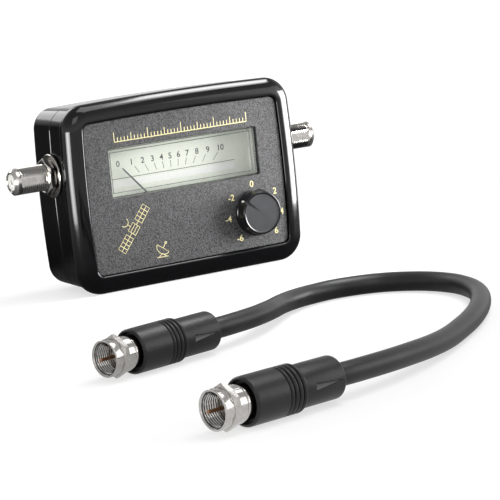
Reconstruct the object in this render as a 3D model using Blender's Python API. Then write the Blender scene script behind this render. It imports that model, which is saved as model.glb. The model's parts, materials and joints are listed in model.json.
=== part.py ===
"""Satellite signal meter with its loose coaxial patch lead.

A moving-coil meter and a gain knob sit in a glossy two-part case with a threaded
coaxial socket on each side. A short lead with two screw-on plugs lies in front.
The front faces -Y, +X is to the right, and the case stands on its bottom.
All sizes are in metres. The origin is under the middle of the meter.
"""

import math

import bmesh
import bpy
from mathutils import Vector

# Clearances and cutting
fit_gap = 0.0003
seam_gap = 0.00015
overrun = 0.0020

# Case: a front shell with a fat rounded rim, and a rear cover
case_width = 0.0928
case_height = 0.0678
case_depth = 0.0325
case_corner_radius = 0.0093
side_bow = 0.0006
bow_flat_share = 0.33
case_wall = 0.0022
front_wall = 0.0020
back_wall = 0.0022
rim_width = 0.0069
rim_lip = 0.0006
rim_side_depth = 0.0043
rim_back_radius = 0.0006
rim_step_depth = 0.0050
rim_step = 0.0010
side_draft = 0.0004
rear_edge_radius = 0.0030
inner_corner_radius = 0.0010
seam_behind_face = 0.0155

# Textured face plate, sunk into the rim
face_recess = 0.0008
face_thickness = 0.0012

# Window for the meter, its edges measured in from the face plate's edges
window_from_left = 0.0094
window_from_right = 0.0096
window_from_top = 0.0103
window_from_bottom = 0.0261
window_corner_radius = 0.0008
window_recess = 0.0010

# Meter housing and dial card, measured from the window's edges
meter_wall = 0.0012
meter_side_margin = 0.0030
meter_top_margin = 0.0036
meter_bottom_margin = 0.0041
meter_back_gap = 0.0046
dial_side_margin = 0.0013
dial_top_margin = 0.0018
dial_bottom_margin = 0.0025
dial_thickness = 0.0005
dial_post_radius = 0.0012
dial_post_from_side = 0.0043
dial_post_rise_shares = (0.18, 0.85)
lamp_radius = 0.0015
lamp_length = 0.0055
lamp_side = 0.0120

# Movement about its pivot, from the core outwards
pivot_off_middle = -0.0017
pivot_below_window = 0.0131
core_radius = 0.0045
core_arm_thickness = 0.0020
core_arm_inset = 0.0015
core_air_gap = 0.0004
coil_thickness = 0.0008
coil_width = 0.0020
coil_end_gap = 0.0008
coil_front_gap = 0.0010
coil_air_gap = 0.0005
yoke_wall = 0.0020
yoke_front_gap = 0.0022
bridge_front_gap = 0.0004
bridge_thickness = 0.0008
bridge_height = 0.0044
bridge_post_radius = 0.0013
bridge_post_gap = 0.0005
stem_side_gap = 0.0002
stem_foot_gap = 0.0023
spindle_radius = 0.0005
jewel_radius = 0.0015
jewel_length = 0.0013
jewel_cup_radius = 0.0009
jewel_cup_depth = 0.0006
jewel_slot_width = 0.0005
jewel_slot_depth = 0.0004
hairspring_turns = 3
hairspring_radius = 0.0036
hairspring_wire_radius = 0.00015
needle_from_top = 0.0010
needle_tail = 0.0055
needle_width = 0.0009
needle_tip_width = 0.0004
needle_thickness = 0.0003
needle_above_dial = 0.0007
needle_hub_radius = 0.0021
needle_rest_angle = math.radians(41.4)
hub_thickness = 0.0008

# Gain control and its knob, just right of the middle between the movement and the plate's edge
knob_off_middle = 0.0011
knob_from_bottom = 0.0128
knob_lift = 0.0005
knob_height = 0.0048
knob_radius = 0.0078
knob_foot_radius = 0.0081
knob_skirt_radius = 0.0084
knob_skirt_height = 0.0012
knob_edge_radius = 0.0005
knob_dish_depth = 0.0003
knob_hollow_radius = 0.0063
knob_hollow_depth = 0.0017
knob_bore_depth = 0.0036
notch_width = 0.0017
notch_point_width = 0.0006
notch_depth = 0.0012
notch_inner_radius = 0.0018
pointer_angle = math.radians(52)
shaft_radius = 0.0030
bush_radius = 0.0037
bush_height = 0.0018
pot_nut_flats = 0.0100
pot_nut_thickness = 0.0012
pot_radius = 0.0072
pot_depth = 0.0082
pot_wall = 0.0022
pot_turn = math.radians(25)
pot_tag_width = 0.0012
pot_tag_length = 0.0035
pot_tag_spacing = 0.0050

# Coaxial sockets, one on each side, held at the seam
socket_from_top = 0.0182
socket_radius = 0.00475
socket_length = 0.0164
socket_chamfer = 0.0010
socket_flange_width = 0.00145
socket_flange_thickness = 0.0016
socket_tail = 0.0020
socket_wall = 0.00155
insulator_recess = 0.0004
contact_radius = 0.0006
contact_recess = 0.0028
contact_tail = 0.0022
nut_flats = 0.0118
nut_thickness = 0.0026
washer_width = 0.00305
washer_thickness = 0.0008

# Electronics
board_side_gap = 0.0011
board_end_gap = 0.0063
board_thickness = 0.0016
board_from_back = 0.0050
board_hole_from_side = 0.0060
board_hole_from_end = 0.0040
board_post_radius = 0.0028
board_screw_length = 0.0040
shield_from_edge = 0.0010
shield_from_meter = 0.0020
shield_top_gap = 0.00075
shield_height = 0.0120
shield_depth = 0.0076
shield_wall = 0.0006
buzzer_radius = 0.0060
buzzer_front_gap = 0.0050
buzzer_hole_radius = 0.0010
buzzer_hole_depth = 0.0022

# Screws
case_screw_radius = 0.0014
case_screw_head_radius = 0.0027
case_screw_head_height = 0.0018
case_screw_grip = 0.0094
case_screw_from_side = 0.0086
counterbore_depth = 0.0034
column_radius = 0.0037
cross_slot_width = 0.0008
cross_slot_depth = 0.0009
board_screw_radius = 0.0009
board_screw_head_radius = 0.0017
board_screw_head_height = 0.0012

# Patch lead: two alike plugs, measured from each boot's rear face to its mouth
cable_radius = 0.00325
boot_radius = 0.0068
boot_length = 0.0325
boot_rear_step = 0.0008
boot_rear_length = 0.0125
boot_ring_zone = 0.0068
boot_ring_count = 4
boot_ring_depth = 0.0007
boot_ring_groove_share = 0.4
boot_edge_radius = 0.0010
boot_mouth_wall = 0.0009
boot_mouth_depth = 0.0020
boot_slot_count = 2
boot_slot_turn = math.radians(80)
boot_slot_width = 0.0034
boot_slot_depth = 0.0012
boot_slot_start = 0.0012
boot_slot_length = 0.0087
ferrule_radius = 0.0034
ferrule_wall = 0.0008
ferrule_depth = 0.0130
ferrule_flange_gap = 0.0004
ferrule_flange_thickness = 0.0012
plug_nut_length = 0.0115
plug_nut_collar_length = 0.0028
plug_nut_collar_wall = 0.0008
plug_nut_shoulder = 0.0003
plug_nut_flats = 0.0114
plug_nut_hex_length = 0.0022
plug_nut_body_step = 0.0004
plug_nut_body_length = 0.0026
plug_nut_groove_width = 0.0004
plug_nut_groove_depth = 0.0005
plug_nut_thread_gap = 0.00005
plug_nut_thread_depth = 0.0068
plug_nut_tail_gap = 0.0009
plug_pin_radius = 0.0005
plug_pin_reach = 0.0020
plug_a_heading = math.radians(194.8)
plug_b_heading = math.radians(191.2)
lead_route = [
    (-0.0658, -0.1409, 0.0068),
    (-0.0590, -0.1388, 0.0067),
    (-0.0471, -0.1330, 0.0063),
    (-0.0376, -0.1256, 0.0056),
    (-0.0305, -0.1187, 0.0049),
    (-0.0240, -0.1121, 0.0043),
    (-0.0164, -0.1061, 0.0038),
    (-0.0067, -0.1010, 0.00335),
    (0.0059, -0.0992, 0.00325),
    (0.0194, -0.1038, 0.00325),
    (0.0285, -0.1146, 0.00325),
    (0.0317, -0.1274, 0.00325),
    (0.0302, -0.1397, 0.00325),
    (0.0257, -0.1513, 0.00325),
    (0.0186, -0.1626, 0.00325),
    (0.0098, -0.1737, 0.00325),
    (-0.0002, -0.1843, 0.00325),
    (-0.0110, -0.1943, 0.00335),
    (-0.0222, -0.2039, 0.0036),
    (-0.0338, -0.2128, 0.0044),
    (-0.0460, -0.2207, 0.0054),
    (-0.0587, -0.2273, 0.0062),
    (-0.0727, -0.2322, 0.0067),
    (-0.0796, -0.2335, 0.0068),
]

# Depths of the case, worked out from the sizes above
knob_proud = knob_lift + knob_height - face_recess
total_depth = case_depth + knob_proud
crest_y = knob_proud - total_depth / 2
back_y = total_depth / 2
face_y = crest_y + face_recess
seat_y = face_y + face_thickness + fit_gap
front_wall_back_y = seat_y + front_wall
seam_y = face_y + seam_behind_face
cover_floor_y = back_y - back_wall
board_back_y = back_y - board_from_back
board_front_y = board_back_y - board_thickness
pot_back_y = front_wall_back_y + fit_gap + pot_depth
case_screw_length = back_y - counterbore_depth - seam_y + case_screw_grip

# Depths of the meter, from its cover back to the board
flange_y = front_wall_back_y + fit_gap
flange_back_y = flange_y + meter_wall
tray_front_y = flange_back_y + fit_gap
bridge_front_y = flange_back_y + bridge_front_gap
bridge_back_y = bridge_front_y + bridge_thickness
hub_front_y = bridge_back_y + fit_gap
needle_back_y = hub_front_y + hub_thickness
dial_y = needle_back_y + needle_above_dial
dial_back_y = dial_y + dial_thickness
coil_front_y = needle_back_y + coil_front_gap
core_front_y = coil_front_y + coil_thickness + coil_end_gap
yoke_front_y = needle_back_y + yoke_front_gap
tray_back_y = board_front_y - meter_back_gap
tray_floor_y = tray_back_y - meter_wall
yoke_back_y = tray_floor_y - fit_gap
coil_back_y = yoke_back_y
core_back_y = coil_back_y - coil_thickness - coil_end_gap

# Places across the front
case_middle = case_height / 2
body_inset = rim_step + side_draft
body_side_x = case_width / 2 - body_inset
face_width = case_width - 2 * rim_width
face_height = case_height - 2 * rim_width
face_top = case_height - rim_width
window_width = face_width - window_from_left - window_from_right
window_height = face_height - window_from_top - window_from_bottom
window_x = (window_from_left - window_from_right) / 2
window_low = rim_width + window_from_bottom
window_high = face_top - window_from_top
window_z = (window_low + window_high) / 2
dial_low = window_low - dial_bottom_margin
dial_high = window_high + dial_top_margin
dial_half_width = window_width / 2 + dial_side_margin
meter_half_width = window_width / 2 + meter_side_margin
meter_shoulder_z = window_low - meter_bottom_margin
pivot_x = window_x + pivot_off_middle
pivot_z = window_low - pivot_below_window
needle_length = window_high - needle_from_top - pivot_z
coil_inner_radius = core_radius + core_air_gap
coil_outer_radius = coil_inner_radius + coil_thickness
yoke_bore_radius = coil_outer_radius + coil_air_gap
yoke_radius = yoke_bore_radius + yoke_wall
bridge_post_side = yoke_radius + bridge_post_gap + bridge_post_radius
stem_half_width = bridge_post_side + bridge_post_radius + stem_side_gap + meter_wall
stem_foot_z = pivot_z - yoke_radius - stem_foot_gap - meter_wall
knob_x = (pivot_x + stem_half_width + face_width / 2) / 2 + knob_off_middle
knob_z = rim_width + knob_from_bottom
socket_z = face_top - socket_from_top
column_x = case_width / 2 - case_screw_from_side
column_rise = case_height / 2 - case_screw_from_side
board_half_width = column_x - column_radius - board_side_gap
board_half_height = case_middle - body_inset - case_wall - board_end_gap
board_hole_x = board_half_width - board_hole_from_side
board_hole_rise = board_half_height - board_hole_from_end

# Sizes of the sockets and plugs that fit each other
socket_bore_radius = socket_radius - socket_wall
socket_flange_radius = socket_radius + socket_flange_width
washer_radius = socket_radius + washer_width
boot_rear_radius = boot_radius - boot_rear_step
boot_mouth_radius = boot_radius - boot_mouth_wall
ferrule_bore_radius = ferrule_radius - ferrule_wall
dielectric_radius = ferrule_bore_radius - fit_gap
plug_nut_thread_radius = socket_radius + plug_nut_thread_gap
plug_nut_collar_radius = plug_nut_thread_radius + plug_nut_collar_wall
ferrule_flange_radius = plug_nut_thread_radius - ferrule_flange_gap
plug_nut_body_radius = plug_nut_flats / 2 - plug_nut_body_step
plug_nut_tail_radius = boot_mouth_radius - plug_nut_tail_gap
plug_length = boot_length - boot_mouth_depth + fit_gap + plug_nut_length

# Numbers of facets
round_steps = 24
fine_steps = 30
nut_steps = 24
boot_steps = 18
small_steps = 10
corner_steps = 4
rim_steps = 6
rear_edge_steps = 4
edge_steps = 2
dome_steps = 3
hub_steps = 6
spring_turn_steps = 12
cable_steps = 34
cable_resolution = 3

smooth_angle = math.radians(35)
nut_chamfer_angle = math.radians(30)
nut_chamfer_share = 0.95
quarter = math.pi / 2


def material(name, colour, roughness, metallic=0.0, alpha=1.0):
    """A Principled material of one colour."""
    made = bpy.data.materials.new(name)
    made.use_nodes = True
    shader = made.node_tree.nodes["Principled BSDF"]
    shader.inputs["Base Color"].default_value = (*colour, 1.0)
    shader.inputs["Roughness"].default_value = roughness
    shader.inputs["Metallic"].default_value = metallic
    shader.inputs["Alpha"].default_value = alpha
    return made


def link(name, data, colour, location=(0, 0, 0), rotation=(0, 0, 0), parent=None):
    """Places an object and gives it its material."""
    made = bpy.data.objects.new(name, data)
    bpy.context.collection.objects.link(made)
    if colour:
        data.materials.append(colour)
    made.location = location
    made.rotation_euler = rotation
    made.parent = parent
    return made


def add(name, mesh, colour, location=(0, 0, 0), rotation=(0, 0, 0), parent=None):
    """Turns a bmesh into an object with its normals out and its round faces smooth."""
    bmesh.ops.recalc_face_normals(mesh, faces=mesh.faces)
    data = bpy.data.meshes.new(name)
    mesh.to_mesh(data)
    mesh.free()
    data.shade_smooth()
    data.set_sharp_from_angle(angle=smooth_angle)
    return link(name, data, colour, location, rotation, parent)


def boolean(target, tool, operation):
    """Cuts or joins with a tool that stays hidden."""
    tool.hide_render = True
    tool.display_type = "WIRE"
    change = target.modifiers.new(tool.name, "BOOLEAN")
    change.operation = operation
    change.solver = "EXACT"
    change.object = tool


def cut(target, tool):
    boolean(target, tool, "DIFFERENCE")


def join(target, tool):
    boolean(target, tool, "UNION")


def skin(rings, closed=False):
    """A mesh through rings of points; a ring of one point closes an end, and so does a cap."""
    mesh = bmesh.new()
    loops = [[mesh.verts.new(point) for point in ring] for ring in rings]
    following = loops[1:] + (loops[:1] if closed else [])
    for near, far in zip(loops, following):
        count = max(len(near), len(far))
        for index in range(count):
            after = (index + 1) % count
            corners = []
            for loop, order in ((near, (index, after)), (far, (after, index))):
                for place in order[:len(loop)]:
                    corners.append(loop[place] if len(loop) > 1 else loop[0])
            mesh.faces.new(corners)
    if not closed:
        for loop in (loops[0], loops[-1]):
            if len(loop) > 1:
                mesh.faces.new(loop)
    return mesh


def circle(radius, along, steps):
    """Points of a circle about local Z, or the one point on the axis."""
    if radius == 0:
        return [Vector((0, 0, along))]
    points = []
    for index in range(steps):
        angle = 2 * math.pi * index / steps
        points.append(Vector((radius * math.cos(angle), radius * math.sin(angle), along)))
    return points


def turned(profile, steps=round_steps, closed=False):
    """A turned piece about local Z, from (radius, along) pairs."""
    return skin([circle(radius, along, steps) for radius, along in profile], closed)


def rod(radius, start, end, steps=round_steps):
    """A plain round rod along local Z."""
    return turned([(0, start), (radius, start), (radius, end), (0, end)], steps)


def sleeve(radius, bore, start, end, steps=round_steps):
    """A plain tube along local Z."""
    return turned([(bore, start), (radius, start), (radius, end), (bore, end)], steps, closed=True)


def prism(outline, front, back):
    """Extrudes an (x, z) outline along Y."""
    return skin([[Vector((x, y, z)) for x, z in outline] for y in (front, back)])


def box(low, high):
    """A block between two corners."""
    outline = [(low[0], low[2]), (high[0], low[2]), (high[0], high[2]), (low[0], high[2])]
    return prism(outline, low[1], high[1])


def arc(middle, radii, start, end, steps):
    """Points on a quarter or other stretch of an ellipse, both ends included."""
    points = []
    for index in range(steps + 1):
        angle = start + (end - start) * index / steps
        points.append((middle[0] + radii[0] * math.cos(angle), middle[1] + radii[1] * math.sin(angle)))
    return points


def rounded_rectangle(width, height, radius, middle=(0, 0)):
    """An (x, z) outline with round corners."""
    points = []
    for side, rise, start in ((1, 1, 0), (-1, 1, 1), (-1, -1, 2), (1, -1, 3)):
        corner = (middle[0] + side * (width / 2 - radius), middle[1] + rise * (height / 2 - radius))
        points += arc(corner, (radius, radius), start * quarter, (start + 1) * quarter, corner_steps)
    return points


def case_outline(inset):
    """The case's (x, z) outline drawn in by an inset: its top and sides bow out, its foot is straight."""
    radius = max(case_corner_radius - inset, inner_corner_radius)
    half_width = case_width / 2 - inset
    half_height = case_height / 2 - inset
    flat_x = half_width * bow_flat_share
    flat_z = half_height * bow_flat_share
    across = half_width - side_bow - radius
    up = half_height - side_bow - radius
    down = radius - half_height
    stretches = (
        ((across, up), (flat_x, half_height), (-flat_x, half_height)),
        ((-across, up), (-half_width, flat_z), (-half_width, -flat_z)),
        ((-across, down), (-flat_x, -half_height), (flat_x, -half_height)),
        ((across, down), (half_width, -flat_z), (half_width, flat_z)),
    )
    points = []
    for index, (corner, start, end) in enumerate(stretches):
        points += arc(corner, (radius, radius), index * quarter, (index + 1) * quarter, corner_steps)
        points += [start, end]
    return [(x, case_middle + z) for x, z in points]


def case_ring(inset, y):
    """The case's outline drawn in by an inset, at a depth."""
    return [Vector((x, y, z)) for x, z in case_outline(inset)]


def hexagon_ring(flats, limit, along, drop, steps):
    """A ring round a hexagon, no further out than a limit, set back where the chamfer starts."""
    ring = []
    for index in range(steps):
        angle = 2 * math.pi * index / steps
        reach = flats / 2 / math.cos(angle % (math.pi / 3) - math.pi / 6)
        back = (reach - limit) * math.tan(nut_chamfer_angle)
        radius = reach if drop else limit
        ring.append(Vector((radius * math.cos(angle), radius * math.sin(angle), along + drop * back)))
    return ring


def hex_nut(flats, bore, start, end, steps=nut_steps):
    """A hexagon nut about local Z with both of its faces chamfered."""
    limit = flats / 2 * nut_chamfer_share
    return skin([
        circle(bore, start, steps),
        hexagon_ring(flats, limit, start, 0, steps),
        hexagon_ring(flats, limit, start, 1, steps),
        hexagon_ring(flats, limit, end, -1, steps),
        hexagon_ring(flats, limit, end, 0, steps),
        circle(bore, end, steps),
    ], closed=True)


facing_front = (quarter, 0, 0)
facing_back = (-quarter, 0, 0)


def make_colours():
    """The materials, one for each kind of surface."""
    return {
        "case": material("case_plastic", (0.008, 0.008, 0.009), 0.08),
        "face": material("face_texture", (0.055, 0.055, 0.060), 0.55),
        "clear": material("clear_plastic", (0.85, 0.88, 0.86), 0.05, alpha=0.35),
        "ivory": material("ivory_plastic", (0.62, 0.62, 0.55), 0.45),
        "dial": material("dial_card", (0.55, 0.58, 0.50), 0.60),
        "needle": material("needle_paint", (0.010, 0.010, 0.010), 0.45),
        "iron": material("plated_iron", (0.50, 0.50, 0.50), 0.35, 1.0),
        "magnet": material("magnet", (0.20, 0.20, 0.21), 0.45, 1.0),
        "copper": material("copper", (0.72, 0.35, 0.18), 0.30, 1.0),
        "brass": material("brass", (0.75, 0.58, 0.28), 0.30, 1.0),
        "lamp": material("lamp_lens", (0.90, 0.75, 0.45), 0.15, alpha=0.6),
        "board": material("circuit_board", (0.03, 0.16, 0.07), 0.40),
        "tin": material("tin_plate", (0.60, 0.60, 0.60), 0.30, 1.0),
        "black": material("black_plastic", (0.012, 0.012, 0.013), 0.40),
        "knob": material("knob_plastic", (0.030, 0.030, 0.033), 0.30),
        "nickel": material("nickel", (0.66, 0.63, 0.58), 0.20, 1.0),
        "insulator": material("insulator", (0.85, 0.85, 0.82), 0.50),
        "screw": material("screw_steel", (0.30, 0.30, 0.31), 0.30, 1.0),
        "boot": material("boot_rubber", (0.022, 0.022, 0.023), 0.50),
        "cable": material("cable_jacket", (0.026, 0.026, 0.028), 0.42),
    }


def corner_places(side, rise):
    """The four corners about the case's middle, as (x, z)."""
    return [(side * x, case_middle + rise * z) for x in (-1, 1) for z in (-1, 1)]


def cut_side_notches(shell, name):
    """Half-round notches at the seam, where the two shells clamp the socket barrels."""
    reach = case_width / 2 + overrun
    barrel = rod(socket_radius + fit_gap, -reach, reach)
    cut(shell, add(f"{name}_socket_cutter", barrel, None, (0, seam_y, socket_z), (0, quarter, 0)))


def make_front_shell(colour):
    """The front shell: a rounded rim, a recessed front wall and drafted sides."""
    recess = rim_width - fit_gap
    crest = recess - rim_lip
    widest_y = crest_y + rim_side_depth
    step_y = face_y + rim_step_depth
    profile = [(recess, seat_y), (recess, crest_y + rim_lip)]
    profile += arc((crest, crest_y + rim_lip), (rim_lip, -rim_lip), quarter / 4, quarter, edge_steps)
    profile += arc((crest, widest_y), (-crest, -rim_side_depth), quarter, 0, rim_steps)[1:]
    back = (rim_back_radius, step_y - rim_back_radius)
    profile += arc(back, (-rim_back_radius, rim_back_radius), 0, quarter, edge_steps)
    profile += [
        (rim_step, step_y),
        (body_inset, seam_y - seam_gap / 2),
        (body_inset + case_wall, seam_y - seam_gap / 2),
        (body_inset + case_wall, front_wall_back_y),
    ]
    shell = add("front_shell", skin([case_ring(inset, y) for inset, y in profile]), colour["case"])
    opening = prism(window_outline(0, window_corner_radius), seat_y - overrun, front_wall_back_y + overrun)
    cut(shell, add("shell_window_cutter", opening, None))
    hole = rod(bush_radius + fit_gap, -overrun, front_wall + overrun)
    cut(shell, add("shell_knob_cutter", hole, None, (knob_x, seat_y, knob_z), facing_back))
    for index, (x, z) in enumerate(corner_places(column_x, column_rise)):
        start = -front_wall / 2
        end = seam_y - seam_gap / 2 - front_wall_back_y
        column = rod(column_radius, start, end, small_steps)
        join(shell, add(f"shell_column_{index}", column, None, (x, front_wall_back_y, z), facing_back))
    for index, (x, z) in enumerate(corner_places(column_x, column_rise)):
        reach = case_screw_grip + 2 * fit_gap
        pilot = rod(case_screw_radius + fit_gap, -reach, overrun, small_steps)
        cut(shell, add(f"shell_pilot_{index}", pilot, None, (x, seam_y, z), facing_back))
    cut_side_notches(shell, "shell")
    return shell


def make_rear_cover(colour):
    """The rear cover: a tray with a rounded back edge, screw columns and board posts."""
    inner = body_inset + case_wall
    mouth_y = seam_y + seam_gap / 2
    edge = (body_inset + side_draft + rear_edge_radius, back_y - rear_edge_radius)
    profile = [(inner, cover_floor_y), (inner, mouth_y), (body_inset, mouth_y)]
    profile += arc(edge, (-rear_edge_radius, rear_edge_radius), 0, quarter, rear_edge_steps)
    cover = add("rear_cover", skin([case_ring(inset, y) for inset, y in profile]), colour["case"])
    sunk = back_wall / 2
    for index, (x, z) in enumerate(corner_places(column_x, column_rise)):
        column = rod(column_radius, -sunk, cover_floor_y - mouth_y, small_steps)
        join(cover, add(f"cover_column_{index}", column, None, (x, cover_floor_y, z), facing_front))
    for index, side in enumerate((-1, 1)):
        place = (side * board_hole_x, cover_floor_y, case_middle + side * board_hole_rise)
        post = rod(board_post_radius, -sunk, cover_floor_y - board_back_y - fit_gap, small_steps)
        join(cover, add(f"board_post_{index}", post, None, place, facing_front))
        pilot_depth = board_screw_length - board_thickness + fit_gap
        pilot = rod(board_screw_radius + fit_gap, -pilot_depth, overrun, small_steps)
        mouth = (place[0], board_back_y, place[2])
        cut(cover, add(f"board_pilot_{index}", pilot, None, mouth, facing_front))
    for index, (x, z) in enumerate(corner_places(column_x, column_rise)):
        deep = back_y - seam_y + overrun
        narrow = case_screw_radius + fit_gap
        wide = case_screw_head_radius + fit_gap
        hole = turned([
            (0, -deep), (narrow, -deep), (narrow, -counterbore_depth),
            (wide, -counterbore_depth), (wide, overrun), (0, overrun),
        ], small_steps)
        cut(cover, add(f"cover_screw_cutter_{index}", hole, None, (x, back_y, z), facing_back))
    cut_side_notches(cover, "cover")
    return cover


def window_outline(inset, radius):
    """The window's outline drawn in by an inset."""
    width = window_width - 2 * inset
    height = window_height - 2 * inset
    return rounded_rectangle(width, height, radius, (window_x, window_z))


def make_face_plate(colour):
    """The textured plate in the rim, with its window and the hole for the control's bush."""
    outline = case_outline(rim_width)
    plate = add("face_plate", prism(outline, face_y, face_y + face_thickness), colour["face"])
    opening = prism(window_outline(0, window_corner_radius), face_y - overrun, seat_y + overrun)
    cut(plate, add("face_window_cutter", opening, None))
    hole = rod(bush_radius + fit_gap, -overrun, face_thickness + overrun)
    cut(plate, add("face_knob_cutter", hole, None, (knob_x, face_y, knob_z), facing_back))
    return plate


def tee_outline(inset):
    """The meter housing's outline: wide behind the window, with a stem round the movement."""
    top = window_high + meter_top_margin - inset
    shoulder = meter_shoulder_z + inset
    foot = stem_foot_z + inset
    half = meter_half_width - inset
    stem = stem_half_width - inset
    return [
        (window_x - half, top), (window_x - half, shoulder),
        (pivot_x - stem, shoulder), (pivot_x - stem, foot),
        (pivot_x + stem, foot), (pivot_x + stem, shoulder),
        (window_x + half, shoulder), (window_x + half, top),
    ]


def make_meter_housing(colour):
    """The clear cover with its raised window, and the tray that holds the movement."""
    cover = add("meter_cover", prism(tee_outline(0), flange_y, flange_back_y), colour["clear"])
    snout_front_y = face_y + window_recess
    snout = window_outline(fit_gap, window_corner_radius)
    snout = prism(snout, snout_front_y, flange_back_y - meter_wall / 2)
    join(cover, add("snout_body", snout, None))
    hollow = window_outline(fit_gap + meter_wall, window_corner_radius / 2)
    hollow = prism(hollow, snout_front_y + meter_wall, flange_back_y + overrun)
    cut(cover, add("snout_cutter", hollow, None))
    pocket = rod(jewel_radius + 2 * fit_gap, -overrun, meter_wall + overrun, small_steps)
    cut(cover, add("jewel_pocket_cutter", pocket, None, (pivot_x, flange_y, pivot_z), facing_back))

    tray = add("meter_base", prism(tee_outline(0), tray_front_y, tray_back_y), colour["ivory"])
    cut(tray, add("tray_cutter", prism(tee_outline(meter_wall), tray_front_y - overrun, tray_floor_y), None))
    sunk = meter_wall / 2
    for index, side in enumerate((-1, 1)):
        place = (pivot_x + side * bridge_post_side, tray_floor_y, pivot_z)
        post = rod(bridge_post_radius, -sunk, tray_floor_y - bridge_back_y - fit_gap, small_steps)
        join(tray, add(f"bridge_post_{index}", post, None, place, facing_front))
    dial_post_side = dial_half_width - dial_post_from_side
    for index, (side, share) in enumerate((s, r) for s in (-1, 1) for r in dial_post_rise_shares):
        rise = dial_low + share * (dial_high - dial_low)
        place = (window_x + side * dial_post_side, tray_floor_y, rise)
        post = rod(dial_post_radius, -sunk, tray_floor_y - dial_back_y - fit_gap, small_steps)
        join(tray, add(f"dial_post_{index}", post, None, place, facing_front))
    jewel_hole = rod(jewel_radius + fit_gap, -overrun, meter_wall + overrun, small_steps)
    cut(tray, add("rear_jewel_cutter", jewel_hole, None, (pivot_x, tray_floor_y, pivot_z), facing_back))


def make_dial(colour):
    """The dial card behind the needle, and the lamp that lights it from behind."""
    left = window_x - dial_half_width
    right = window_x + dial_half_width
    add("dial_plate", box((left, dial_y, dial_low), (right, dial_back_y, dial_high)), colour["dial"])
    dome = arc((0, lamp_length - lamp_radius), (lamp_radius, lamp_radius), 0, quarter, dome_steps)[:-1]
    lamp = turned([(0, fit_gap), (lamp_radius, fit_gap)] + dome + [(0, lamp_length)], small_steps)
    place = (pivot_x + lamp_side, tray_floor_y, (dial_low + dial_high) / 2)
    add("dial_lamp", lamp, colour["lamp"], place, facing_front)


def make_magnet(colour):
    """The iron yoke ring and the round magnet core, which two side arms carry."""
    ring = sleeve(yoke_radius, yoke_bore_radius, 0, yoke_back_y - yoke_front_y)
    add("meter_yoke", ring, colour["iron"], (pivot_x, yoke_back_y, pivot_z), facing_front)
    core = add("magnet_core", rod(core_radius, 0, core_back_y - core_front_y), colour["magnet"],
               (pivot_x, core_back_y, pivot_z), facing_front)
    reach = yoke_bore_radius - fit_gap
    half = core_arm_thickness / 2
    rise = math.sqrt(reach ** 2 - half ** 2)
    arms = box((-rise, core_front_y + core_arm_inset, -half), (rise, core_back_y - core_arm_inset, half))
    join(core, add("core_arms", arms, None, (pivot_x, 0, pivot_z)))


def picture_frame(outer, inner, front, back, width):
    """A flat rectangular loop: outer and inner reach along Z, front and back (outer, inner) along Y."""
    rings = []
    for x, reach, ends in ((-1, outer, 0), (1, outer, 0), (1, inner, 1), (-1, inner, 1)):
        corners = ((front[ends], -reach), (back[ends], -reach), (back[ends], reach), (front[ends], reach))
        rings.append([Vector((x * width / 2, y, z)) for y, z in corners])
    return skin(rings, closed=True)


def make_pointer(colour):
    """The moving coil, its spindles, the hairspring and the needle, all about the pivot."""
    pivot = link("needle_axis", None, None, (pivot_x, 0, pivot_z), (0, -needle_rest_angle, 0))
    coil = picture_frame(coil_outer_radius, coil_inner_radius,
                         (coil_front_y, coil_front_y + coil_thickness),
                         (coil_back_y, coil_back_y - coil_thickness), coil_width)
    add("moving_coil", coil, colour["copper"], parent=pivot)

    half = needle_width / 2
    tip = needle_tip_width / 2
    neck = math.asin(half / needle_hub_radius) * 2
    hub_radii = (needle_hub_radius, needle_hub_radius)
    hub = arc((0, 0), hub_radii, quarter + neck, 3 * quarter - neck, hub_steps)
    outline = [(-tip, needle_length), (-half, needle_hub_radius)] + hub
    outline += [(-half, -needle_tail), (half, -needle_tail)] + [(-x, -z) for x, z in hub]
    outline += [(half, needle_hub_radius), (tip, needle_length)]
    blade = prism(outline, needle_back_y - needle_thickness, needle_back_y)
    needle = add("needle", blade, colour["needle"], parent=pivot)
    behind = (0, needle_back_y, 0)
    boss = rod(needle_hub_radius, 0, hub_thickness, small_steps)
    join(needle, add("needle_boss", boss, None, behind, facing_front, pivot))
    bore = rod(spindle_radius + fit_gap, -overrun, hub_thickness + overrun, small_steps)
    cut(needle, add("needle_bore_cutter", bore, None, behind, facing_front, pivot))

    front_length = coil_front_y - fit_gap - (bridge_back_y - jewel_cup_depth / 2)
    front = rod(spindle_radius, 0, front_length, small_steps)
    add("spindle_front", front, colour["iron"], (0, coil_front_y - fit_gap, 0), facing_front, pivot)
    rear_start = coil_back_y + seam_gap
    rear = rod(spindle_radius, 0, tray_floor_y + jewel_cup_depth / 2 - rear_start, small_steps)
    add("spindle_rear", rear, colour["iron"], (0, rear_start, 0), facing_back, pivot)

    path = []
    inner = spindle_radius + hairspring_wire_radius + fit_gap
    spring_y = (coil_front_y + dial_y) / 2
    spring_steps = hairspring_turns * spring_turn_steps
    for index in range(spring_steps + 1):
        share = index / spring_steps
        angle = 2 * math.pi * hairspring_turns * share
        radius = inner + (hairspring_radius - inner) * share
        path.append((radius * math.cos(angle), spring_y, radius * math.sin(angle)))
    tube("hairspring", path, hairspring_wire_radius, 0, colour["brass"], pivot)


def tube(name, path, radius, resolution, colour, parent=None):
    """A round tube along straight steps between points, closed at both ends."""
    curve = bpy.data.curves.new(name, "CURVE")
    curve.dimensions = "3D"
    curve.bevel_depth = radius
    curve.bevel_resolution = resolution
    curve.use_fill_caps = True
    spline = curve.splines.new("POLY")
    spline.points.add(len(path) - 1)
    for point, place in zip(spline.points, path):
        point.co = (*place, 1)
    return link(name, curve, colour, parent=parent)


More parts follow.
